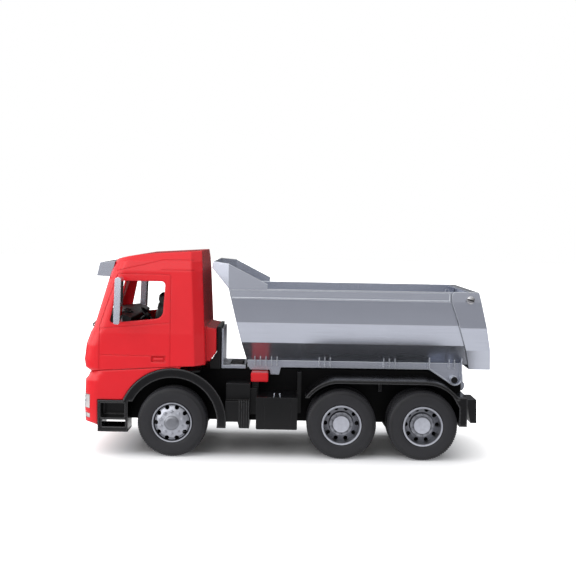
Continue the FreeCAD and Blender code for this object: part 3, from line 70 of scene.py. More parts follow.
class Shader:
    """A material whose node tree is written as a chain of calls."""

    def __init__(self, name):
        self.material = bpy.data.materials.new(name)
        self.material.use_nodes = True
        self.tree = self.material.node_tree
        self.surface = self.tree.nodes["Principled BSDF"]
        self.place = self.node("ShaderNodeTexCoord").outputs["Object"]
        self.edge = None  # how strongly a point lies on a rounded edge, set by moulded()

    def node(self, kind, **settings):
        made = self.tree.nodes.new(kind)
        for key, setting in settings.items():
            setattr(made, key, setting)
        return made

    def link(self, source, target):
        self.tree.links.new(source, target)

    def put(self, source, socket):
        """Links a socket to a node's output, or sets it to a number or a colour."""
        if isinstance(source, bpy.types.NodeSocket):
            self.link(source, socket)
        elif isinstance(source, tuple) and socket.type == "RGBA":
            socket.default_value = (*source, 1)
        else:
            socket.default_value = source

    def feed(self, node, **inputs):
        """Fills a node's inputs, whose names are written with _ for a space."""
        for key, source in inputs.items():
            self.put(source, node.inputs[key.replace("_", " ")])
        return node

    def set(self, **inputs):
        return self.feed(self.surface, **inputs)

    def noise(self, scale, detail, place=None):
        made = self.feed(self.node("ShaderNodeTexNoise"), Scale=scale, Detail=detail,
                         Vector=place or self.place)
        return made.outputs["Fac"]

    def moved(self, scale, origin=(0, 0, 0)):
        """Object coordinates measured from an origin and scaled along each axis."""
        centred = self.vector("SUBTRACT", self.place, origin)
        return self.vector("MULTIPLY", centred, scale)

    def vector(self, operation, first, second=(0, 0, 0)):
        made = self.node("ShaderNodeVectorMath", operation=operation)
        self.put(first, made.inputs[0])
        self.put(second, made.inputs[1])
        return made.outputs["Value" if operation in ("LENGTH", "DOT_PRODUCT") else "Vector"]

    def math(self, operation, first, second=0.0):
        made = self.node("ShaderNodeMath", operation=operation)
        self.put(first, made.inputs[0])
        self.put(second, made.inputs[1])
        return made.outputs[0]

    def remap(self, source, low, high, from_low=0.3, from_high=0.7):
        made = self.node("ShaderNodeMapRange")
        self.feed(made, Value=source, From_Min=from_low, From_Max=from_high, To_Min=low,
                  To_Max=high)
        return made.outputs["Result"]

    def ramp(self, source, *stops):
        """Colour along a value, from (position, colour) stops."""
        made = self.node("ShaderNodeValToRGB")
        elements = made.color_ramp.elements
        while len(elements) < len(stops):
            elements.new(0.5)
        for element, (position, colour) in zip(elements, stops):
            element.position = position
            element.color = (*colour, 1)
        self.link(source, made.inputs["Fac"])
        return made.outputs["Color"]

    def tones(self, source, colour, stops):
        """Shades of one colour along a value, from (position, level) stops."""
        return self.ramp(source, *[(position, shade(colour, level)) for position, level in stops])

    def mix(self, factor, first, second):
        made = self.node("ShaderNodeMix", data_type="RGBA")
        for socket, source in zip((made.inputs[0], made.inputs[6], made.inputs[7]),
                                  (factor, first, second)):
            self.put(source, socket)
        return made.outputs[2]

    def waves(self, scale, direction, kind="BANDS", place=None):
        made = self.node("ShaderNodeTexWave", wave_type=kind)
        setattr(made, "bands_direction" if kind == "BANDS" else "rings_direction", direction)
        self.feed(made, Scale=scale, Distortion=0.0, Vector=place or self.place)
        return made.outputs["Fac"]

    def edges(self, radius):
        """Normal of edges rounded by a radius, and how strongly a point lies on such an edge."""
        rounding = self.feed(self.node("ShaderNodeBevel", samples=6), Radius=radius)
        flat = self.node("ShaderNodeNewGeometry").outputs["Normal"]
        turned = self.vector("DOT_PRODUCT", rounding.outputs["Normal"], flat)
        return rounding.outputs["Normal"], self.remap(turned, 1.0, 0.0, 0.80, 0.985)

    def bumps(self, normal, *layers):
        """Stacks bumps of (height source, strength, depth in metres) on a normal."""
        for height, strength, depth in layers:
            bump = self.feed(self.node("ShaderNodeBump"), Height=height, Strength=strength,
                             Distance=depth)
            if normal is not None:
                self.link(normal, bump.inputs["Normal"])
            normal = bump.outputs["Normal"]
        self.link(normal, self.surface.inputs["Normal"])


def shade(colour, factor):
    """A colour made darker or lighter by a factor."""
    return tuple(min(1.0, channel * factor) for channel in colour)


def moulded(name, colour, rough, metallic=0.0, coat=0.0, mottle=0.04, grain=0.02,
            grain_scale=2600, specular=0.5, rounding=0.6, edge_wear_and_highlight=0.25, uneven=0.035, edge_wear_and_highlight_colour=None):
    """Injection-moulded plastic: rounded edges that catch the light and are painted lighter, partly
    scuffs and partly painted highlight, faint mottling and flow lines, uneven gloss, slight sink
    and a fine grain.

    rounding is the edges' radius in mm, edge_wear_and_highlight the share of that lightening on them
    and edge_wear_and_highlight_colour its colour;
    mottle, grain and uneven say how strong the mottling, the grain and the gloss changes are.
    """
    shader = Shader(name)
    normal, shader.edge = shader.edges(rounding * MM)
    cloud = shader.remap(shader.noise(30, 4), 0.0, 1.0)
    tone = shader.mix(cloud, shade(colour, 1 - mottle), shade(colour, 1 + mottle))
    # painted highlight: the colour lightens along rounded edges, partly scuffs and partly standing in
    # for the light they catch
    wear_and_highlight = shader.math("MULTIPLY", shader.edge, edge_wear_and_highlight)
    tone = shader.mix(wear_and_highlight, tone, edge_wear_and_highlight_colour or shade(colour, 1.8))
    flow = shader.noise(1.0, 3, place=shader.moved((60, 60, 300)))
    cloudy = shader.remap(shader.noise(90, 2), rough - uneven, rough + uneven)
    gloss = shader.math("ADD", cloudy, shader.remap(flow, -uneven / 2, uneven / 2))
    shader.set(Base_Color=tone, Roughness=gloss, Metallic=metallic, Coat_Weight=coat,
               Coat_Roughness=0.1, Specular_IOR_Level=specular)
    sink = (shader.noise(14, 1), 0.06, 0.8 * MM)
    fine_grain = (shader.noise(grain_scale, 2), grain, 0.1 * MM)
    shader.bumps(normal, sink, fine_grain)
    return shader


RED = (0.72, 0.015, 0.023)
SILVER = (0.52, 0.545, 0.62)
BLACK = (0.0045, 0.0045, 0.0052)
RUBBER = (0.019, 0.019, 0.0225)
RIM_SILVER = (0.47, 0.485, 0.54)


def red_plastic():
    """Glossy red of the cab, the bumper and the release lever."""
    return moulded("red_gloss", RED, 0.17, specular=0.4, mottle=0.02, grain=0.003, rounding=4.0,
                   edge_wear_and_highlight=0.12, uneven=0.02)


def silver_plastic():
    """Satin silver with a metallic pigment that lies in faint streaks along the flow; its edges
    are painted lighter and less metallic, partly scuffs and partly painted highlight."""
    metallic = 0.85
    shader = moulded("silver_satin", SILVER, 0.25, metallic=metallic, mottle=0.012, grain=0.0,
                     rounding=1.0, edge_wear_and_highlight=0.9, uneven=0.008)
    tone = shader.surface.inputs["Base Color"].links[0].from_socket
    streaks = shader.remap(shader.noise(1.0, 2, place=shader.moved((18, 90, 420))), 0.0, 0.12)
    # painted highlight: the edges turn less metallic, so their lighter colour shows under any
    # reflection
    shader.set(Base_Color=shader.mix(streaks, tone, shade(SILVER, 1.4)),
               Metallic=shader.remap(shader.edge, metallic, 0.25, 0.0, 1.0))
    return shader


def black_plastic():
    """Satin black of the boxes, the flaps and the cab's inserts."""
    return moulded("black_satin", BLACK, 0.30, specular=0.33, grain=0.01, grain_scale=1500,
                   mottle=0.18, rounding=0.9, edge_wear_and_highlight=0.8, uneven=0.02, edge_wear_and_highlight_colour=(0.035, 0.035, 0.038))


def frame_plastic():
    """The chassis' duller black."""
    return moulded("black_dull", shade(BLACK, 0.6), 0.40, specular=0.09, grain=0.02,
                   grain_scale=1500, mottle=0.2, rounding=0.8, edge_wear_and_highlight=0.8, uneven=0.03,
                   edge_wear_and_highlight_colour=(0.02, 0.02, 0.022))


def arch_plastic():
    """Glossy black of the wheel arches, whose rounded lips catch the light and are painted pale grey
    as a painted highlight.
    """
    return moulded("black_gloss", BLACK, 0.17, specular=0.36, grain=0.01, mottle=0.18, rounding=4.5,
                   edge_wear_and_highlight=0.35, uneven=0.02, edge_wear_and_highlight_colour=(0.20, 0.20, 0.21))


def interior_plastic():
    """Grained black of the cab's tray, dashboard and seats."""
    return moulded("black_grained", BLACK, 0.42, specular=0.35, grain=0.3, grain_scale=900,
                   mottle=0.2)


def dark_trim():
    """Dark grey of small fittings."""
    return moulded("dark_trim", (0.02, 0.02, 0.022), 0.4, specular=0.4, grain=0.2, grain_scale=1200)


def mirror_glass():
    """Bright plate with the faint waves of a pressed foil."""
    return moulded("mirror_foil", (0.78, 0.80, 0.82), 0.06, metallic=1.0, grain=0.01, rounding=0.3)


def lamp_plastic():
    """Pale lamp moulding with upright flutes and a pinkish tint at its edges."""
    shader = moulded("lamp_pale", (0.46, 0.43, 0.43), 0.16, coat=0.6, mottle=0.1)
    normal, edge = shader.edges(1.2 * MM)
    tone = shader.ramp(shader.noise(45, 2), (0.40, (0.62, 0.60, 0.60)), (0.60, (0.30, 0.24, 0.25)))
    shader.set(Base_Color=shader.mix(edge, tone, (0.55, 0.22, 0.22)))
    flutes = shader.waves(170.0, "Y")
    shader.bumps(normal, (flutes, 0.35, 0.6 * MM))
    return shader


def steel():
    """Drawn steel rod with fine rings of turning marks."""
    shader = moulded("drawn_steel", (0.55, 0.55, 0.57), 0.25, metallic=1.0, mottle=0.1)
    rings = shader.waves(900.0, "Y")
    shader.bumps(None, (rings, 0.2, 0.1 * MM))
    return shader


def middle_of(node):
    """Middle of a CAD node's box."""
    low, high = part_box(node)
    return (low + high) / 2


def radial(shader, node):
    """Distance of a point from the axle of a wheel node, in metres."""
    return shader.vector("LENGTH", shader.moved((1, 0, 1), tuple(middle_of(node))))


def wheel_kind(node):
    """The front wheels are single, those of the other axles have twin tyres."""
    return "front" if node.startswith("front") else "twin"


# Painted light and shade from the axle outwards: (share of RIM_REACH, level); the dark levels are
# painted shade and the bright ones painted highlight.
RIM_REACH = 30 * MM
RIM_LIGHT_AND_SHADE = {
    "front": ((0.365, 0.55), (0.375, 1.0), (0.845, 1.0), (0.86, 0.02), (0.915, 0.02), (0.93, 1.0)),
    "twin": ((0.40, 1.35), (0.42, 0.35), (0.57, 0.80), (0.60, 0.10), (0.63, 0.58), (0.90, 0.50),
             (0.925, 1.15)),
}
# how far behind the rim's outermost face its disc reaches
DISC_DEPTH = {"front": 9 * MM, "twin": 21.5 * MM}


def rim_plastic(node):
    """Silver wheel plastic, with painted light and shade on the cap, the groove behind the lip, the
    dish and the barrel.
    """
    kind = wheel_kind(node)
    low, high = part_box(node)
    shader = moulded(f"rim_{node}", RIM_SILVER, 0.34, metallic=0.75, grain=0.12)
    share = shader.math("DIVIDE", radial(shader, node), RIM_REACH)
    tone = shader.tones(share, RIM_SILVER, RIM_LIGHT_AND_SHADE[kind])
    dust = shader.remap(shader.noise(170, 4), 0.0, 0.22)
    tone = shader.mix(dust, tone, shade(RIM_SILVER, 0.35))
    # painted shade: the barrel behind the disc is coloured near black
    outward = shader.math("ABSOLUTE", shader.vector("DOT_PRODUCT", shader.place, (0, 1, 0)))
    disc = max(abs(low.y), abs(high.y)) - DISC_DEPTH[kind]
    barrel_shade = shader.remap(outward, 1.0, 0.0, disc - 1 * MM, disc)
    shader.set(Base_Color=shader.mix(barrel_shade, tone, (0.01, 0.01, 0.01)))
    return shader


# Tones from the bead to the crown: (share of the tyre's radius, level); the paler crown is a painted
# highlight on the lugs' edges.
TYRE_TONES_AND_HIGHLIGHT = ((0.55, 0.35), (0.585, 0.4), (0.60, 1.0), (0.87, 0.85), (0.885, 0.45), (0.93, 0.6),
              (0.965, 1.1), (1.0, 1.3))


def rubber(node):
    """Soft dark tyre plastic: moulding rings on the walls, a dark shoulder, a paler crown that is a
    painted highlight.
    """
    low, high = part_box(node)
    shader = Shader(f"rubber_{node}")
    share = shader.math("DIVIDE", radial(shader, node), (high.z - low.z) / 2)
    tone = shader.tones(share, RUBBER, TYRE_TONES_AND_HIGHLIGHT)
    cloud = shader.remap(shader.noise(55, 5), 0.0, 0.5)
    rings = shader.waves(190.0, "Y", "RINGS", shader.moved((1, 1, 1), tuple(middle_of(node))))
    shader.set(Base_Color=shader.mix(cloud, tone, shade(RUBBER, 1.2)), Specular_IOR_Level=0.35,
               Roughness=shader.remap(shader.noise(120, 3), 0.42, 0.55))
    shader.bumps(None, (rings, 0.08, 0.3 * MM), (shader.noise(1400, 2), 0.2, 0.2 * MM))
    return shader


def dress_nodes():
    """Gives every CAD node its material and returns those that further pieces share."""
    shared = {"red_plastic": red_plastic(), "silver_plastic": silver_plastic(),
              "black_plastic": black_plastic(), "lamp_plastic": lamp_plastic(),
              "steel_rod": steel(), "inner": interior_plastic(), "trim": dark_trim(),
              "arch": arch_plastic(), "frame": frame_plastic(), "mirror": mirror_glass()}
    for part in frame["record"]["subparts"]:
        node, slot = part["node"], part["material_slot"]
        if node == "cab_interior":
            shader = shared["inner"]
        elif "fender" in node or "mudguard" in node:
            shader = shared["arch"]
        elif node == "chassis_frame":
            shader = shared["frame"]
        elif slot == "rim_plastic":
            shader = rim_plastic(node)
        elif slot == "tyre":
            shader = rubber(node)
        else:
            shader = shared[slot]
        mesh = NODES[node].data
        mesh.materials.clear()
        mesh.materials.append(shader.material)
    return {name: shader.material for name, shader in shared.items()}


# ---------------------------------------------------------------- mesh tools

def piece(name, mesh, material, body):
    """Makes an object of a mesh, gives it its finish and hangs it on a body."""
    made = bpy.data.objects.new(name, mesh)
    bpy.context.scene.collection.objects.link(made)
    mesh.materials.append(material)
    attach(made, body)
    return made


def mesh_from(name, builder, smooth_angle=35):
    """A mesh filled by builder(bmesh), smooth-shaded up to an angle in degrees."""
    work = bmesh.new()
    builder(work)
    bmesh.ops.recalc_face_normals(work, faces=work.faces)
    mesh = bpy.data.meshes.new(name)
    work.to_mesh(mesh)
    work.free()
    mesh.shade_smooth()
    mesh.set_sharp_from_angle(angle=math.radians(smooth_angle))
    return mesh


def rings_into(work, rings, closed=True):
    """Skins a row of rings of points; the first and last are filled unless closed is False."""
    made = [[work.verts.new(point) for point in ring] for ring in rings]
    for first, second in zip(made, made[1:]):
        for k in range(len(first)):
            after = (k + 1) % len(first)
            work.faces.new((first[k], first[after], second[after], second[k]))
    if closed:
        work.faces.new(reversed(made[0]))
        work.faces.new(made[-1])


def turned_into(work, centre, outward, profile, corners):
    """A solid turned about a direction: profile of (radius, rise along it from the centre)."""
    outward = Vector(outward).normalized()
    across = outward.cross(Vector((0, 0, 1))).normalized()
    upward = across.cross(outward)
    turns = [2 * math.pi * k / corners for k in range(corners)]
    rings_into(work, [[centre + outward * rise + (across * math.cos(turn)
                                                  + upward * math.sin(turn)) * radius
                       for turn in turns] for radius, rise in profile])


def block_into(work, low, high):
    """A block between two corners."""
    outline = ((low[0], low[1]), (high[0], low[1]), (high[0], high[1]), (low[0], high[1]))
    rings_into(work, [[Vector((x, y, z)) for x, y in outline] for z in (low[2], high[2])])


def surface_at(node, start, direction):
    """Where a ray meets a CAD node, and the surface's normal there."""
    met, place, normal, _ = NODES[node].ray_cast(Vector(start), Vector(direction).normalized())
    if not met:
        raise ValueError(f"no surface of {node} in that direction")
    return place, normal


def bar_into(work, path, across, width, height):
    """A bar of rectangular section along a path of points, its width along a fixed direction."""
    across = Vector(across).normalized()
    rings = []
    for index, point in enumerate(path):
        along = Vector(path[min(index + 1, len(path) - 1)]) - Vector(path[max(index - 1, 0)])
        up = along.cross(across).normalized() * height / 2
        side = across * width / 2
        rings.append([Vector(point) + side + up, Vector(point) - side + up,
                      Vector(point) - side - up, Vector(point) + side - up])
    rings_into(work, rings)


def softened(made, width, segments=2):
    """Rounds the edges of a piece of ours."""
    bevel = made.modifiers.new("edges", "BEVEL")
    bevel.width = width
    bevel.segments = segments
    bevel.limit_method = "ANGLE"


# ---------------------------------------------------------------- wheels

TYRE_BORE = 28.7 * MM
TWIN_GAP = 5 * MM
TYRE_LUGS = 88
# share of a lug's pitch, and how much of the groove's depth is cut there
LUG_PITCH = ((0.0, 1), (0.26, 1), (0.32, 0), (0.94, 0))


def tyre_profile(bore, crown, width):
    """Half profile of a tyre, bead to crown: (radius, distance from the middle, groove depth)."""
    half = width / 2
    return [
        (bore, half - 1.7 * MM, 0),
        (bore + 1.2 * MM, half - 0.9 * MM, 0),
        (bore + 2.2 * MM, half - 0.9 * MM, 0),
        (bore + 3.0 * MM, half - 0.25 * MM, 0),
        (bore + 8.0 * MM, half - 0.05 * MM, 0),
        (crown - 9.0 * MM, half - 0.1 * MM, 0),
        (crown - 6.2 * MM, half - 0.6 * MM, 0),
        (crown - 5.9 * MM, half - 1.1 * MM, 0),
        (crown - 3.6 * MM, half - 1.8 * MM, 0.1 * MM),
        (crown - 2.6 * MM, half - 2.3 * MM, 0.6 * MM),
        (crown - 1.0 * MM, half - 3.4 * MM, 0.8 * MM),
        (crown - 0.2 * MM, half - 5.2 * MM, 0.9 * MM),
        (crown - 0.1 * MM, half * 0.52, 1.1 * MM),
        (crown - 1.6 * MM, half * 0.48, 0),
        (crown - 1.6 * MM, half * 0.38, 0),
        (crown, half * 0.34, 0.8 * MM),
        (crown, half * 0.08, 0.8 * MM),
        (crown - 1.4 * MM, half * 0.05, 0),
    ]


def tyre_into(work, bore, crown, width, centre):
    """A tyre about an axle along Y, with lugs whose grooves are staggered from side to side."""
    half = tyre_profile(bore, crown, width)
    # the last column is the share of a pitch by which a side's lugs are shifted
    stations = [(radius, -y, depth, 0.0) for radius, y, depth in half]
    stations += [(radius, y, depth, 0.5) for radius, y, depth in reversed(half)]
    rings = []
    for lug in range(TYRE_LUGS):
        for share, groove in LUG_PITCH:
            ring = []
            for radius, y, depth, stagger in stations:
                turn = (lug + share + stagger) / TYRE_LUGS * 2 * math.pi
                reach = radius - depth * groove
                ring.append(centre + Vector((reach * math.cos(turn), y, reach * math.sin(turn))))
            rings.append(ring)
    rings_into(work, rings + rings[:1], closed=False)
    bmesh.ops.remove_doubles(work, verts=work.verts, dist=1e-6)


def tyres():
    """Tyres with lugs in the place of the plain CAD ones."""
    for axle, side in WHEELS:
        node = f"{axle}_tyre_{side}"
        low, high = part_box(node)
        span = high.y - low.y
        single = wheel_kind(node) == "front"
        width = span if single else (span - TWIN_GAP) / 2
        offsets = (0,) if single else ((span - width) / 2, (width - span) / 2)

        def build(work):
            for offset in offsets:
                tyre_into(work, TYRE_BORE, (high.z - low.z) / 2, width,
                          middle_of(node) + Vector((0, offset, 0)))

        made = piece(f"{node}_treaded", mesh_from(f"{node}_treaded", build, 40),
                     NODES[node].data.materials[0], f"{axle}_wheel_{side}")
        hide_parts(node)


NUT_COUNT = 10
# radius of the nuts' circle, depth of their seat behind the rim's outermost face, nut's radius
NUTS = {"front": (16.3 * MM, 4.5 * MM, 1.9 * MM), "twin": (15.1 * MM, 10.9 * MM, 1.5 * MM)}
# (radius, rise), both in shares of the nut's radius
NUT_COLLAR = ((1.6, -0.3), (1.6, 0.25), (1.35, 0.45), (0.9, 0.45))
NUT_HEAD = ((0.95, 0.3), (0.95, 1.0), (0.7, 1.25))


def nut_into(work, centre, outward, size):
    """A moulded hexagonal wheel nut on its round collar."""
    for profile, corners in ((NUT_COLLAR, 20), (NUT_HEAD, 6)):
        turned_into(work, centre, outward, [(size * radius, size * rise) for radius, rise in profile],
                    corners)


def wheel_nuts():
    """A circle of nuts on the face of each rim."""
    for axle, side in WHEELS:
        node = f"{axle}_rim_{side}"
        low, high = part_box(node)
        sign = SIDES[side]
        face_y = low.y if sign < 0 else high.y
        circle, depth, size = NUTS[wheel_kind(node)]
        middle = middle_of(node)

        def build(work):
            for k in range(NUT_COUNT):
                turn = 2 * math.pi * (k + 0.5) / NUT_COUNT
                nut_into(work, Vector((middle.x + circle * math.cos(turn), face_y - sign * depth,
                                       middle.z + circle * math.sin(turn))), (0, sign, 0), size)

        piece(f"{axle}_nuts_{side}", mesh_from(f"{axle}_nuts_{side}", build, 30),
              NODES[node].data.materials[0], f"{axle}_wheel_{side}")


# ---------------------------------------------------------------- dump body

def stud_heads(finishes):
    """Domed caps with a screw slot over the heads of the tailgate's hinge studs; a dark inlay in each
    slot is painted shade.
    """
    low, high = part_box("gate_studs")
    middle = (low + high) / 2
    radius = (high.z - low.z) / 2 + 0.3 * MM
    # share of the radius, and rise above the stud's end in mm
    profile = ((1.0, -4.2), (1.0, 0.1), (0.93, 0.7), (0.75, 1.5), (0.48, 2.1), (0.16, 2.4))
    slot_half, slot_depth, slack, slope = 1.2 * MM, 1.3 * MM, 0.02 * MM, 0.25
    floor_y, across = high.y + 0.15 * MM, Vector((slope, 0, 1))

    def build(work):
        for side in (-1, 1):
            face = Vector((middle.x, side * high.y, middle.z))
            turned_into(work, face, (0, side, 0),
                        [(radius * share, rise * MM) for share, rise in profile], 40)
        # the slot: its edges are cut into the faces, and what lies between them sinks
        for edge in (-1, 1):
            for offset in (0.0, 0.15 * MM):
                bmesh.ops.bisect_plane(work, geom=work.verts[:] + work.edges[:] + work.faces[:],
                                       plane_co=(middle.x, 0, middle.z + edge * (slot_half + offset)),
                                       plane_no=across, dist=1e-7)
        for vert in work.verts:
            rise = (vert.co - middle).dot(across.normalized())
            if abs(rise) < slot_half + slack and abs(vert.co.y) > high.y + slot_depth * 0.1:
                vert.co.y = math.copysign(max(floor_y, abs(vert.co.y) - slot_depth), vert.co.y)

    piece("stud_heads", mesh_from("stud_heads", build, 28), finishes["steel_rod"], "bed")

    # painted shade: a dark inlay fills each slot
    def fill_slots_with_shade(work):
        reach, half = radius * 0.8, 1.1 * MM
        for side in (-1, 1):
            inner, outer = sorted((side * high.y, side * (high.y + slot_depth)))
            rings_into(work, [[Vector((middle.x + end * reach, y,
                                       middle.z - end * slope * reach + rise * half))
                               for y, rise in ((inner, -1), (outer, -1), (outer, 1), (inner, 1))]
                              for end in (-1, 1)])

    piece("stud_slot_shade", mesh_from("stud_slot_shade", fill_slots_with_shade), finishes["trim"], "bed")


def bracket_lips(finishes):
    """Raised lips round the two tipping brackets, down to their rounded feet."""
    _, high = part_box("bed_underframe")
    pin = middle_of("tipping_pin")
    top, face = high.z - 1 * MM, high.y + 0.5 * MM
    front, front_foot = pin.x - 39.2 * MM, pin.z + 15.9 * MM
    rear, rear_foot = high.x - 0.7 * MM, pin.z + 6 * MM
    hub_x, hub_z, radius = pin.x + 0.7 * MM, pin.z + 2.0 * MM, 10.3 * MM
    path = [(front, top), (front, front_foot)]
    for degrees in range(-123, 1, 12):
        turn = math.radians(degrees)
        path.append((hub_x + radius * math.cos(turn), hub_z + radius * math.sin(turn)))
    path += [(rear, rear_foot), (rear, top)]

    def build(work):
        for side in (-1, 1):
            bar_into(work, [Vector((x, side * face, z)) for x, z in path], (0, 1, 0),
                     1.8 * MM, 1.3 * MM)

    made = piece("bracket_lips", mesh_from("bracket_lips", build, 50), finishes["silver_plastic"],
                 "bed")
    softened(made, 0.3 * MM)


def foot_grating(finishes):
    """Dark mesh inlay on top of the foot plate behind the cab."""
    low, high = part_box("subframe")
    top = low.z + 4.6 * MM
    front, rear, half, narrowing = high.x - 26 * MM, high.x - 2.5 * MM, 25 * MM, 2 * MM
    pitch, wire, margin = 2.6 * MM, 0.7 * MM, 2.5 * MM

    def build(work):
        plate = [(front, -half), (rear, -half), (rear - narrowing, half), (front + narrowing, half)]
        rings_into(work, [[Vector((x, y, z)) for x, y in plate]
                          for z in (top - 0.5 * MM, top + 0.2 * MM)])
        for slant in (-1, 1):
            start = front - half - slant * half
            while start < rear + 2 * half:
                run = [(start + slant * (y * MM + half), y * MM) for y in range(-24, 25)]
                run = [(x, y, top + wire / 2) for x, y in run if front + margin < x < rear - margin]
                if len(run) > 3:  # wires of 2 mm and less at the corners are left out
                    bar_into(work, (run[0], run[-1]), (slant, -1, 0), wire, wire)
                start += pitch

    piece("foot_grating", mesh_from("foot_grating", build), finishes["trim"], "truck")


# ---------------------------------------------------------------- chassis

def box_fittings(finishes):
    """Ribs down the battery boxes, whose ends stand above the lid, and the tool boxes' latches, made
    silver as a painted highlight for the light marks on them.
    """
    low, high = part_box("side_boxes_left")
    outer = abs(low.y)
    foot, battery_top = low.z + 1.5 * MM, low.z + 43.2 * MM
    rib_count, first_rib, rib_pitch, rib_width = 5, low.x + 20.3 * MM, 3.55 * MM, 1.3 * MM
    latch_x, latch_foot, latch_gap = high.x - 36.5 * MM, low.z + 47.4 * MM, 4 * MM
    # (lean away from the other latch, rise), both in mm
    latch_path = ((0.9, 0.0), (0.4, 3.0), (0.0, 6.2))

    def ribs(work):
        for side in (-1, 1):
            face = side * (outer - 3 * MM)
            inner_y, outer_y = sorted((face - side * 3 * MM, face + side * 1.1 * MM))
            for k in range(rib_count):
                x = first_rib + k * rib_pitch
                block_into(work, (x, inner_y, foot), (x + rib_width, outer_y, battery_top))

    def latches(work):
        for side in (-1, 1):
            for turn in (-1, 1):
                start = Vector((latch_x + turn * latch_gap, side * (outer - 6 * MM), latch_foot))
                bar_into(work, [start + Vector((turn * x * MM, 0, z * MM)) for x, z in latch_path],
                         (0, 1, 0), 3.0 * MM, 1.5 * MM)

    made = piece("battery_ribs", mesh_from("battery_ribs", ribs), finishes["arch"], "truck")
    softened(made, 0.3 * MM)
    # painted highlight: the latches are silver to show the light marks they catch
    made = piece("lid_latches_silver_highlight", mesh_from("lid_latches_silver_highlight", latches), finishes["silver_plastic"],
                 "truck")
    softened(made, 0.3 * MM)


# ---------------------------------------------------------------- cab

def headlight_bowls(finishes):
    """Two round bowls with a raised ring and a bulb dome in each headlamp."""
    low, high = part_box("headlights")
    ahead, middle_z = low.x - 0.1, (low.z + high.z) / 2
    bowl_places = (65.5 * MM, 79.5 * MM)
    # (radius, rise above the lamp's face), both in mm
    profile = ((6.4, -1.5), (6.4, 0.3), (6.1, 0.6), (5.5, 0.6), (5.1, 0.2), (3.9, -0.3),
               (2.7, -0.3), (2.3, 0.3), (1.5, 0.7), (0.5, 0.9))

    def build(work):
        for y in bowl_places:
            for side in (-1, 1):
                face, normal = surface_at("headlights", (ahead, side * y, middle_z), (1, 0, 0))
                turned_into(work, face, normal,
                            [(radius * MM, rise * MM) for radius, rise in profile], 28)

    piece("headlight_bowls", mesh_from("headlight_bowls", build, 25), finishes["mirror"], "truck")


def gauges(finishes):
    """A hooded pair of dials on the dashboard in front of the steering wheel."""
    low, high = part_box("steering_wheel")
    start = Vector((high.x, (low.y + high.y) / 2, high.z + 15 * MM))
    face, normal = surface_at("cab_interior", start, (-1, 0, -0.55))
    upward = Vector((0, 1, 0)).cross(normal).normalized()
    spread, tick_start, tick_end = 8.5 * MM, 4.0 * MM, 5.2 * MM
    # (radius, rise above the dashboard), both in mm
    profile = ((7.0, -2.0), (7.0, 1.6), (6.4, 2.0), (5.9, 1.6), (5.7, 0.5), (0.8, 0.5), (0.8, 0.9),
               (0.3, 1.0))

    def build(work):
        for side in (-1, 1):
            centre = face + Vector((0, side * spread, 0))
            turned_into(work, centre, normal,
                        [(radius * MM, rise * MM) for radius, rise in profile], 28)
            for degrees in range(-30, 211, 30):
                turn = math.radians(degrees)
                spoke = Vector((0, 1, 0)) * math.cos(turn) + upward * math.sin(turn)
                dial = centre + normal * 0.7 * MM
                bar_into(work, (dial + spoke * tick_start, dial + spoke * tick_end), normal,
                         0.5 * MM, 0.6 * MM)

    piece("gauges", mesh_from("gauges", build, 30), finishes["trim"], "truck")


def seat_backs(finishes):
    """Padded backrests on the moulded seats, with two channels and a head roll."""
    low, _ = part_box("cab_interior")
    foot = Vector((low.x + 88 * MM, 0, low.z + 47 * MM))
    top = Vector((low.x + 100 * MM, 0, low.z + 116 * MM))
    seat_y, thickness = 43 * MM, 9 * MM
    # share of the height, how far the pad stands proud and its half width, both in mm
    rows = ((0.0, 0.5, 22), (0.06, 2.4, 24), (0.30, 3.2, 25), (0.34, 1.6, 25), (0.38, 3.2, 25),
            (0.60, 3.4, 25), (0.64, 1.6, 24), (0.68, 3.0, 23), (0.76, 2.8, 20), (0.80, 1.4, 18),
            (0.86, 4.0, 18), (0.95, 3.8, 17), (1.0, 1.0, 15))
    forward = (top - foot).cross(Vector((0, 1, 0))).normalized()

    def padded(proud, across):
        """The pad's depth, fullest in the middle (0) and falling off to its sides (-1 and 1)."""
        return proud * MM * (1 - 0.55 * across ** 4) - 2 * MM * across ** 8

    def build(work):
        for side in (-1, 1):
            rings = []
            for share, proud, half in rows:
                spine = foot.lerp(top, share) + Vector((0, side * seat_y, 0))
                ring = [spine - forward * thickness + Vector((0, end * half * MM, 0))
                        for end in (1, -1)]
                for k in range(9):
                    across = -1 + k / 4
                    ring.append(spine + forward * padded(proud, across)
                                + Vector((0, across * half * MM, 0)))
                rings.append(ring)
            rings_into(work, rings)

    piece("seat_backs", mesh_from("seat_backs", build, 60), finishes["inner"], "truck")


def mirror_plates(finishes):
    """Bright mirror plates in the rear faces of the mirror heads."""
    for side, sign in SIDES.items():
        low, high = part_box(f"mirror_{side}")
        height = high.z - low.z
        inner, outer = 113.8 * MM, abs(low.y if sign < 0 else high.y) - 2 * MM
        # the head's rear face leans back towards its top
        foot_x, lean = high.x - 2.4 * MM, 2.5 * MM

        def build(work):
            # lower and upper edge of the wide-angle and of the main plate, as shares of the height
            for bottom, top in ((0.10, 0.42), (0.47, 0.92)):
                outline = ((bottom, inner), (bottom, outer), (top, outer), (top, inner))
                rings_into(work, [[Vector((foot_x + lean * share + depth, sign * y,
                                           low.z + share * height)) for share, y in outline]
                                  for depth in (-0.3 * MM, 0.35 * MM)])

        made = piece(f"mirror_plate_{side}", mesh_from(f"mirror_plate_{side}", build),
                     finishes["mirror"], "truck")
        softened(made, 0.25 * MM)


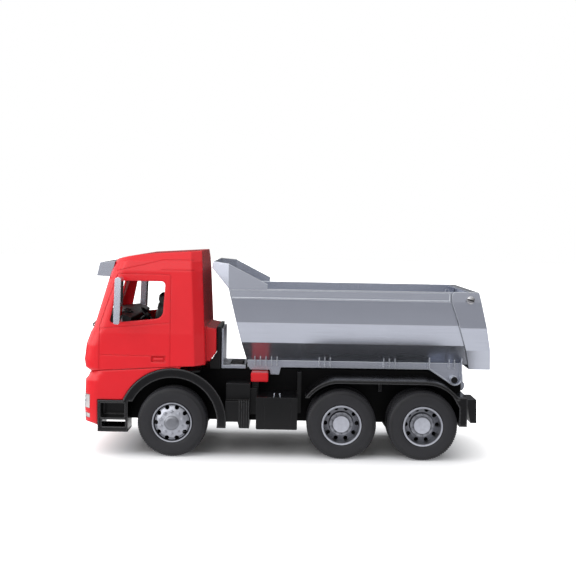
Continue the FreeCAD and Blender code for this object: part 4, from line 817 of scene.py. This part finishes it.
def wipers(finishes):
    """Two wipers that lie along the lower edge of the windscreen, on their pivots."""
    low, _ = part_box("cab_shell")
    # radius of the cab's bowed front, its foremost X and the height at the wipers' feet
    bow, skin, base = 420 * MM, low.x + 15.2 * MM, 193.5 * MM
    length, steps, rise = 64 * MM, 8, 0.25 * MM

    def front(y, proud):
        """X of a point that stands proud of the bowed front."""
        return skin + (bow - math.sqrt(bow * bow - y * y)) - proud

    def build(work):
        for start in (-70 * MM, 6 * MM):
            blade = []
            for k in range(steps + 1):
                y = start + length * k / steps
                blade.append((front(y, 2.6 * MM), y, base + rise * k))
            bar_into(work, blade, (0, 0, 1), 1.6 * MM, 1.4 * MM)
            # the arm rises steeply from its pivot and comes down to the blade's middle
            pivot, hold, tip = start + 8 * MM, start + 36 * MM, start + 42 * MM
            arm = [(front(pivot, 0.2 * MM), pivot, base - 4.5 * MM),
                   (front(pivot, 6.6 * MM), pivot + 1 * MM, base - 3.0 * MM),
                   (front(pivot, 7.6 * MM), pivot + 4 * MM, base - 1.6 * MM),
                   (front(hold, 4.4 * MM), hold, base + 0.6 * MM),
                   (front(tip, 3.6 * MM), tip, base + 0.8 * MM)]
            bar_into(work, arm, (0, 0, 1), 2.2 * MM, 1.6 * MM)

    made = piece("wipers", mesh_from("wipers", build), finishes["trim"], "truck")
    softened(made, 0.25 * MM, 1)


# ---------------------------------------------------------------- stage, light and camera

def distance_from_truck(shader, half_length, half_width):
    """How far a point of the floor lies outside a rectangle under the truck, in metres."""
    shares = []
    for axis, reach in zip((0, 1), (half_length, half_width)):
        direction = tuple(1.0 if k == axis else 0.0 for k in range(3))
        along = shader.math("ABSOLUTE", shader.vector("DOT_PRODUCT", shader.place, direction))
        outside = shader.math("MAXIMUM", shader.math("SUBTRACT", along, reach), 0.0)
        shares.append(shader.math("POWER", outside, 2.0))
    return shader.math("SQRT", shader.math("ADD", *shares))


def stage():
    """Pale floor that keeps the truck's cast shadow. For the camera it glows more with distance from
    the
    truck: it runs out to white, and the weaker glow close by paints a shadow round the truck. Glossy
    faces see a glow instead, a painted reflection: dark under the truck as painted shadow, bright
    beside them, greyer further off."""
    floor_mesh = bpy.data.meshes.new("floor")
    corners = [(x * 9.0, y * 9.0, 0) for x, y in ((-1, -1), (1, -1), (1, 1), (-1, 1))]
    floor_mesh.from_pydata(corners, [], [(0, 1, 2, 3)])
    floor = bpy.data.objects.new("floor", floor_mesh)
    bpy.context.scene.collection.objects.link(floor)
    floor.location.z = -0.2 * MM  # just under the tyres
    shader = Shader("pale_floor")
    half_width = 0.064
    path = shader.node("ShaderNodeLightPath")
    # what the camera sees: (distance in metres, glow added to the lit floor); the low glow near the
    # truck is painted shadow, the full glow far off whitens the floor
    seen = shader.ramp(distance_from_truck(shader, 0.225, half_width),
                       (0.0, (0.0, 0.0, 0.0)), (0.025, (0.17, 0.173, 0.18)),
                       (0.09, (0.55, 0.55, 0.55)), (0.24, (1.0, 1.0, 1.0)))
    shader.set(Base_Color=(0.80, 0.80, 0.81), Roughness=0.6, Specular_IOR_Level=0.2,
               Emission_Color=seen, Emission_Strength=path.outputs["Is Camera Ray"])
    # what glossy faces see, a painted reflection: (distance in metres, colour); dark under the truck
    # as painted shadow, bright beside it, greyer further off
    mirrored = shader.ramp(distance_from_truck(shader, 0.276, half_width),
                           (0.020, (0.02, 0.02, 0.02)), (0.040, (0.99, 0.99, 1.0)),
                           (0.20, (0.92, 0.92, 0.94)), (0.31, (0.34, 0.34, 0.36)),
                           (0.65, (0.38, 0.38, 0.40)))
    # far behind the truck, seen from the camera, the mirrored floor turns dark
    away = shader.vector("DOT_PRODUCT", shader.place, (0, 1, 0))
    level = shader.remap(away, 1.0, 0.06, 1.2, 1.7)
    glow = shader.feed(shader.node("ShaderNodeEmission"), Color=mirrored, Strength=level)
    choice = shader.node("ShaderNodeMixShader")
    shader.link(path.outputs["Is Glossy Ray"], choice.inputs[0])
    shader.link(shader.surface.outputs[0], choice.inputs[1])
    shader.link(glow.outputs[0], choice.inputs[2])
    output = next(node for node in shader.tree.nodes if node.type == "OUTPUT_MATERIAL")
    shader.link(choice.outputs[0], output.inputs["Surface"])
    floor_mesh.materials.append(shader.material)


def world():
    """White where the camera looks; for light and reflections a bright ceiling, a white wall
    ahead of the truck and grey walls that darken to the rear and away from the camera."""
    made = bpy.data.worlds.new("studio")
    bpy.context.scene.world = made
    made.use_nodes = True
    tree = made.node_tree

    def node(kind, *sources, **settings):
        new = tree.nodes.new(kind)
        for key, setting in settings.items():
            setattr(new, key, setting)
        for socket, source in zip(new.inputs, sources):
            if isinstance(source, bpy.types.NodeSocket):
                tree.links.new(source, socket)
            else:
                socket.default_value = source
        return new

    def mapped(source, from_low, from_high, low, high):
        return node("ShaderNodeMapRange", source, from_low, from_high, low, high).outputs[0]

    def combined(operation, first, second):
        return node("ShaderNodeMath", first, second, operation=operation).outputs[0]

    path = node("ShaderNodeLightPath").outputs
    direction = node("ShaderNodeTexCoord").outputs["Generated"]
    parts = node("ShaderNodeSeparateXYZ", direction).outputs
    side = mapped(parts["Y"], -0.3, 0.7, 0.75, 0.08)
    rear = mapped(parts["X"], 0.1, 0.8, 1.0, 0.30)
    ahead = mapped(parts["X"], -0.9, -0.2, 1.25, 0.0)
    wall = combined("ADD", combined("MULTIPLY", side, rear), ahead)
    ceiling = mapped(parts["X"], -0.5, 0.8, 1.25, 0.60)
    room = mapped(mapped(parts["Z"], 0.18, 0.55, 0.0, 1.0), 0.0, 1.0, wall, ceiling)
    plain = combined("MAXIMUM", path["Is Camera Ray"], path["Is Transmission Ray"])
    background = tree.nodes["Background"]
    tree.links.new(mapped(plain, 0.0, 1.0, room, 1.0), background.inputs["Strength"])
    background.inputs["Color"].default_value = (1, 1, 1, 1)


def lamp(name, place, aim, size, power, mirrored=True):
    """A rectangular lamp of a size in metres and a power in watts, aimed at a point."""
    data = bpy.data.lights.new(name, "AREA")
    data.shape = "RECTANGLE"
    data.size, data.size_y = size
    data.energy = power
    made = bpy.data.objects.new(name, data)
    bpy.context.scene.collection.objects.link(made)
    made.location = place
    made.rotation_euler = (Vector(aim) - Vector(place)).to_track_quat("-Z", "Y").to_euler()
    made.visible_glossy = mirrored


def lights():
    """A key lamp and a fill lamp on the camera's side, and a lamp overhead that no glossy face
    mirrors."""
    lamp("key", (-0.9, -1.6, 1.3), (0, 0, 0.1), (1.8, 1.4), 6)
    lamp("top", (-0.3, 0.1, 1.9), (0, 0, 0), (2.4, 1.6), 9, mirrored=False)
    lamp("fill", (-1.6, -0.8, 0.8), (-0.2, 0, 0.2), (1.4, 1.2), 4)


def camera():
    """At the photograph's viewing angle: above the roof, a little downwards, tilted a degree."""
    place, down, tilt = (-0.003, -1.460, 0.3402), math.radians(3.588), math.radians(1.0)
    data = bpy.data.cameras.new("camera")
    data.lens = 57.8
    data.sensor_width = 36
    data.clip_end = 50
    made = bpy.data.objects.new("camera", data)
    bpy.context.scene.collection.objects.link(made)
    turn = Matrix.Rotation(math.pi / 2 - down, 4, "X") @ Matrix.Rotation(tilt, 4, "Z")
    made.matrix_world = Matrix.Translation(place) @ turn
    bpy.context.scene.camera = made


# ---------------------------------------------------------------- making

bpy.context.scene.view_settings.view_transform = "Standard"
finishes = dress_nodes()
tyres()
wheel_nuts()
stud_heads(finishes)
bracket_lips(finishes)
foot_grating(finishes)
box_fittings(finishes)
headlight_bowls(finishes)
gauges(finishes)
seat_backs(finishes)
mirror_plates(finishes)
wipers(finishes)
stage()
world()
lights()
camera()
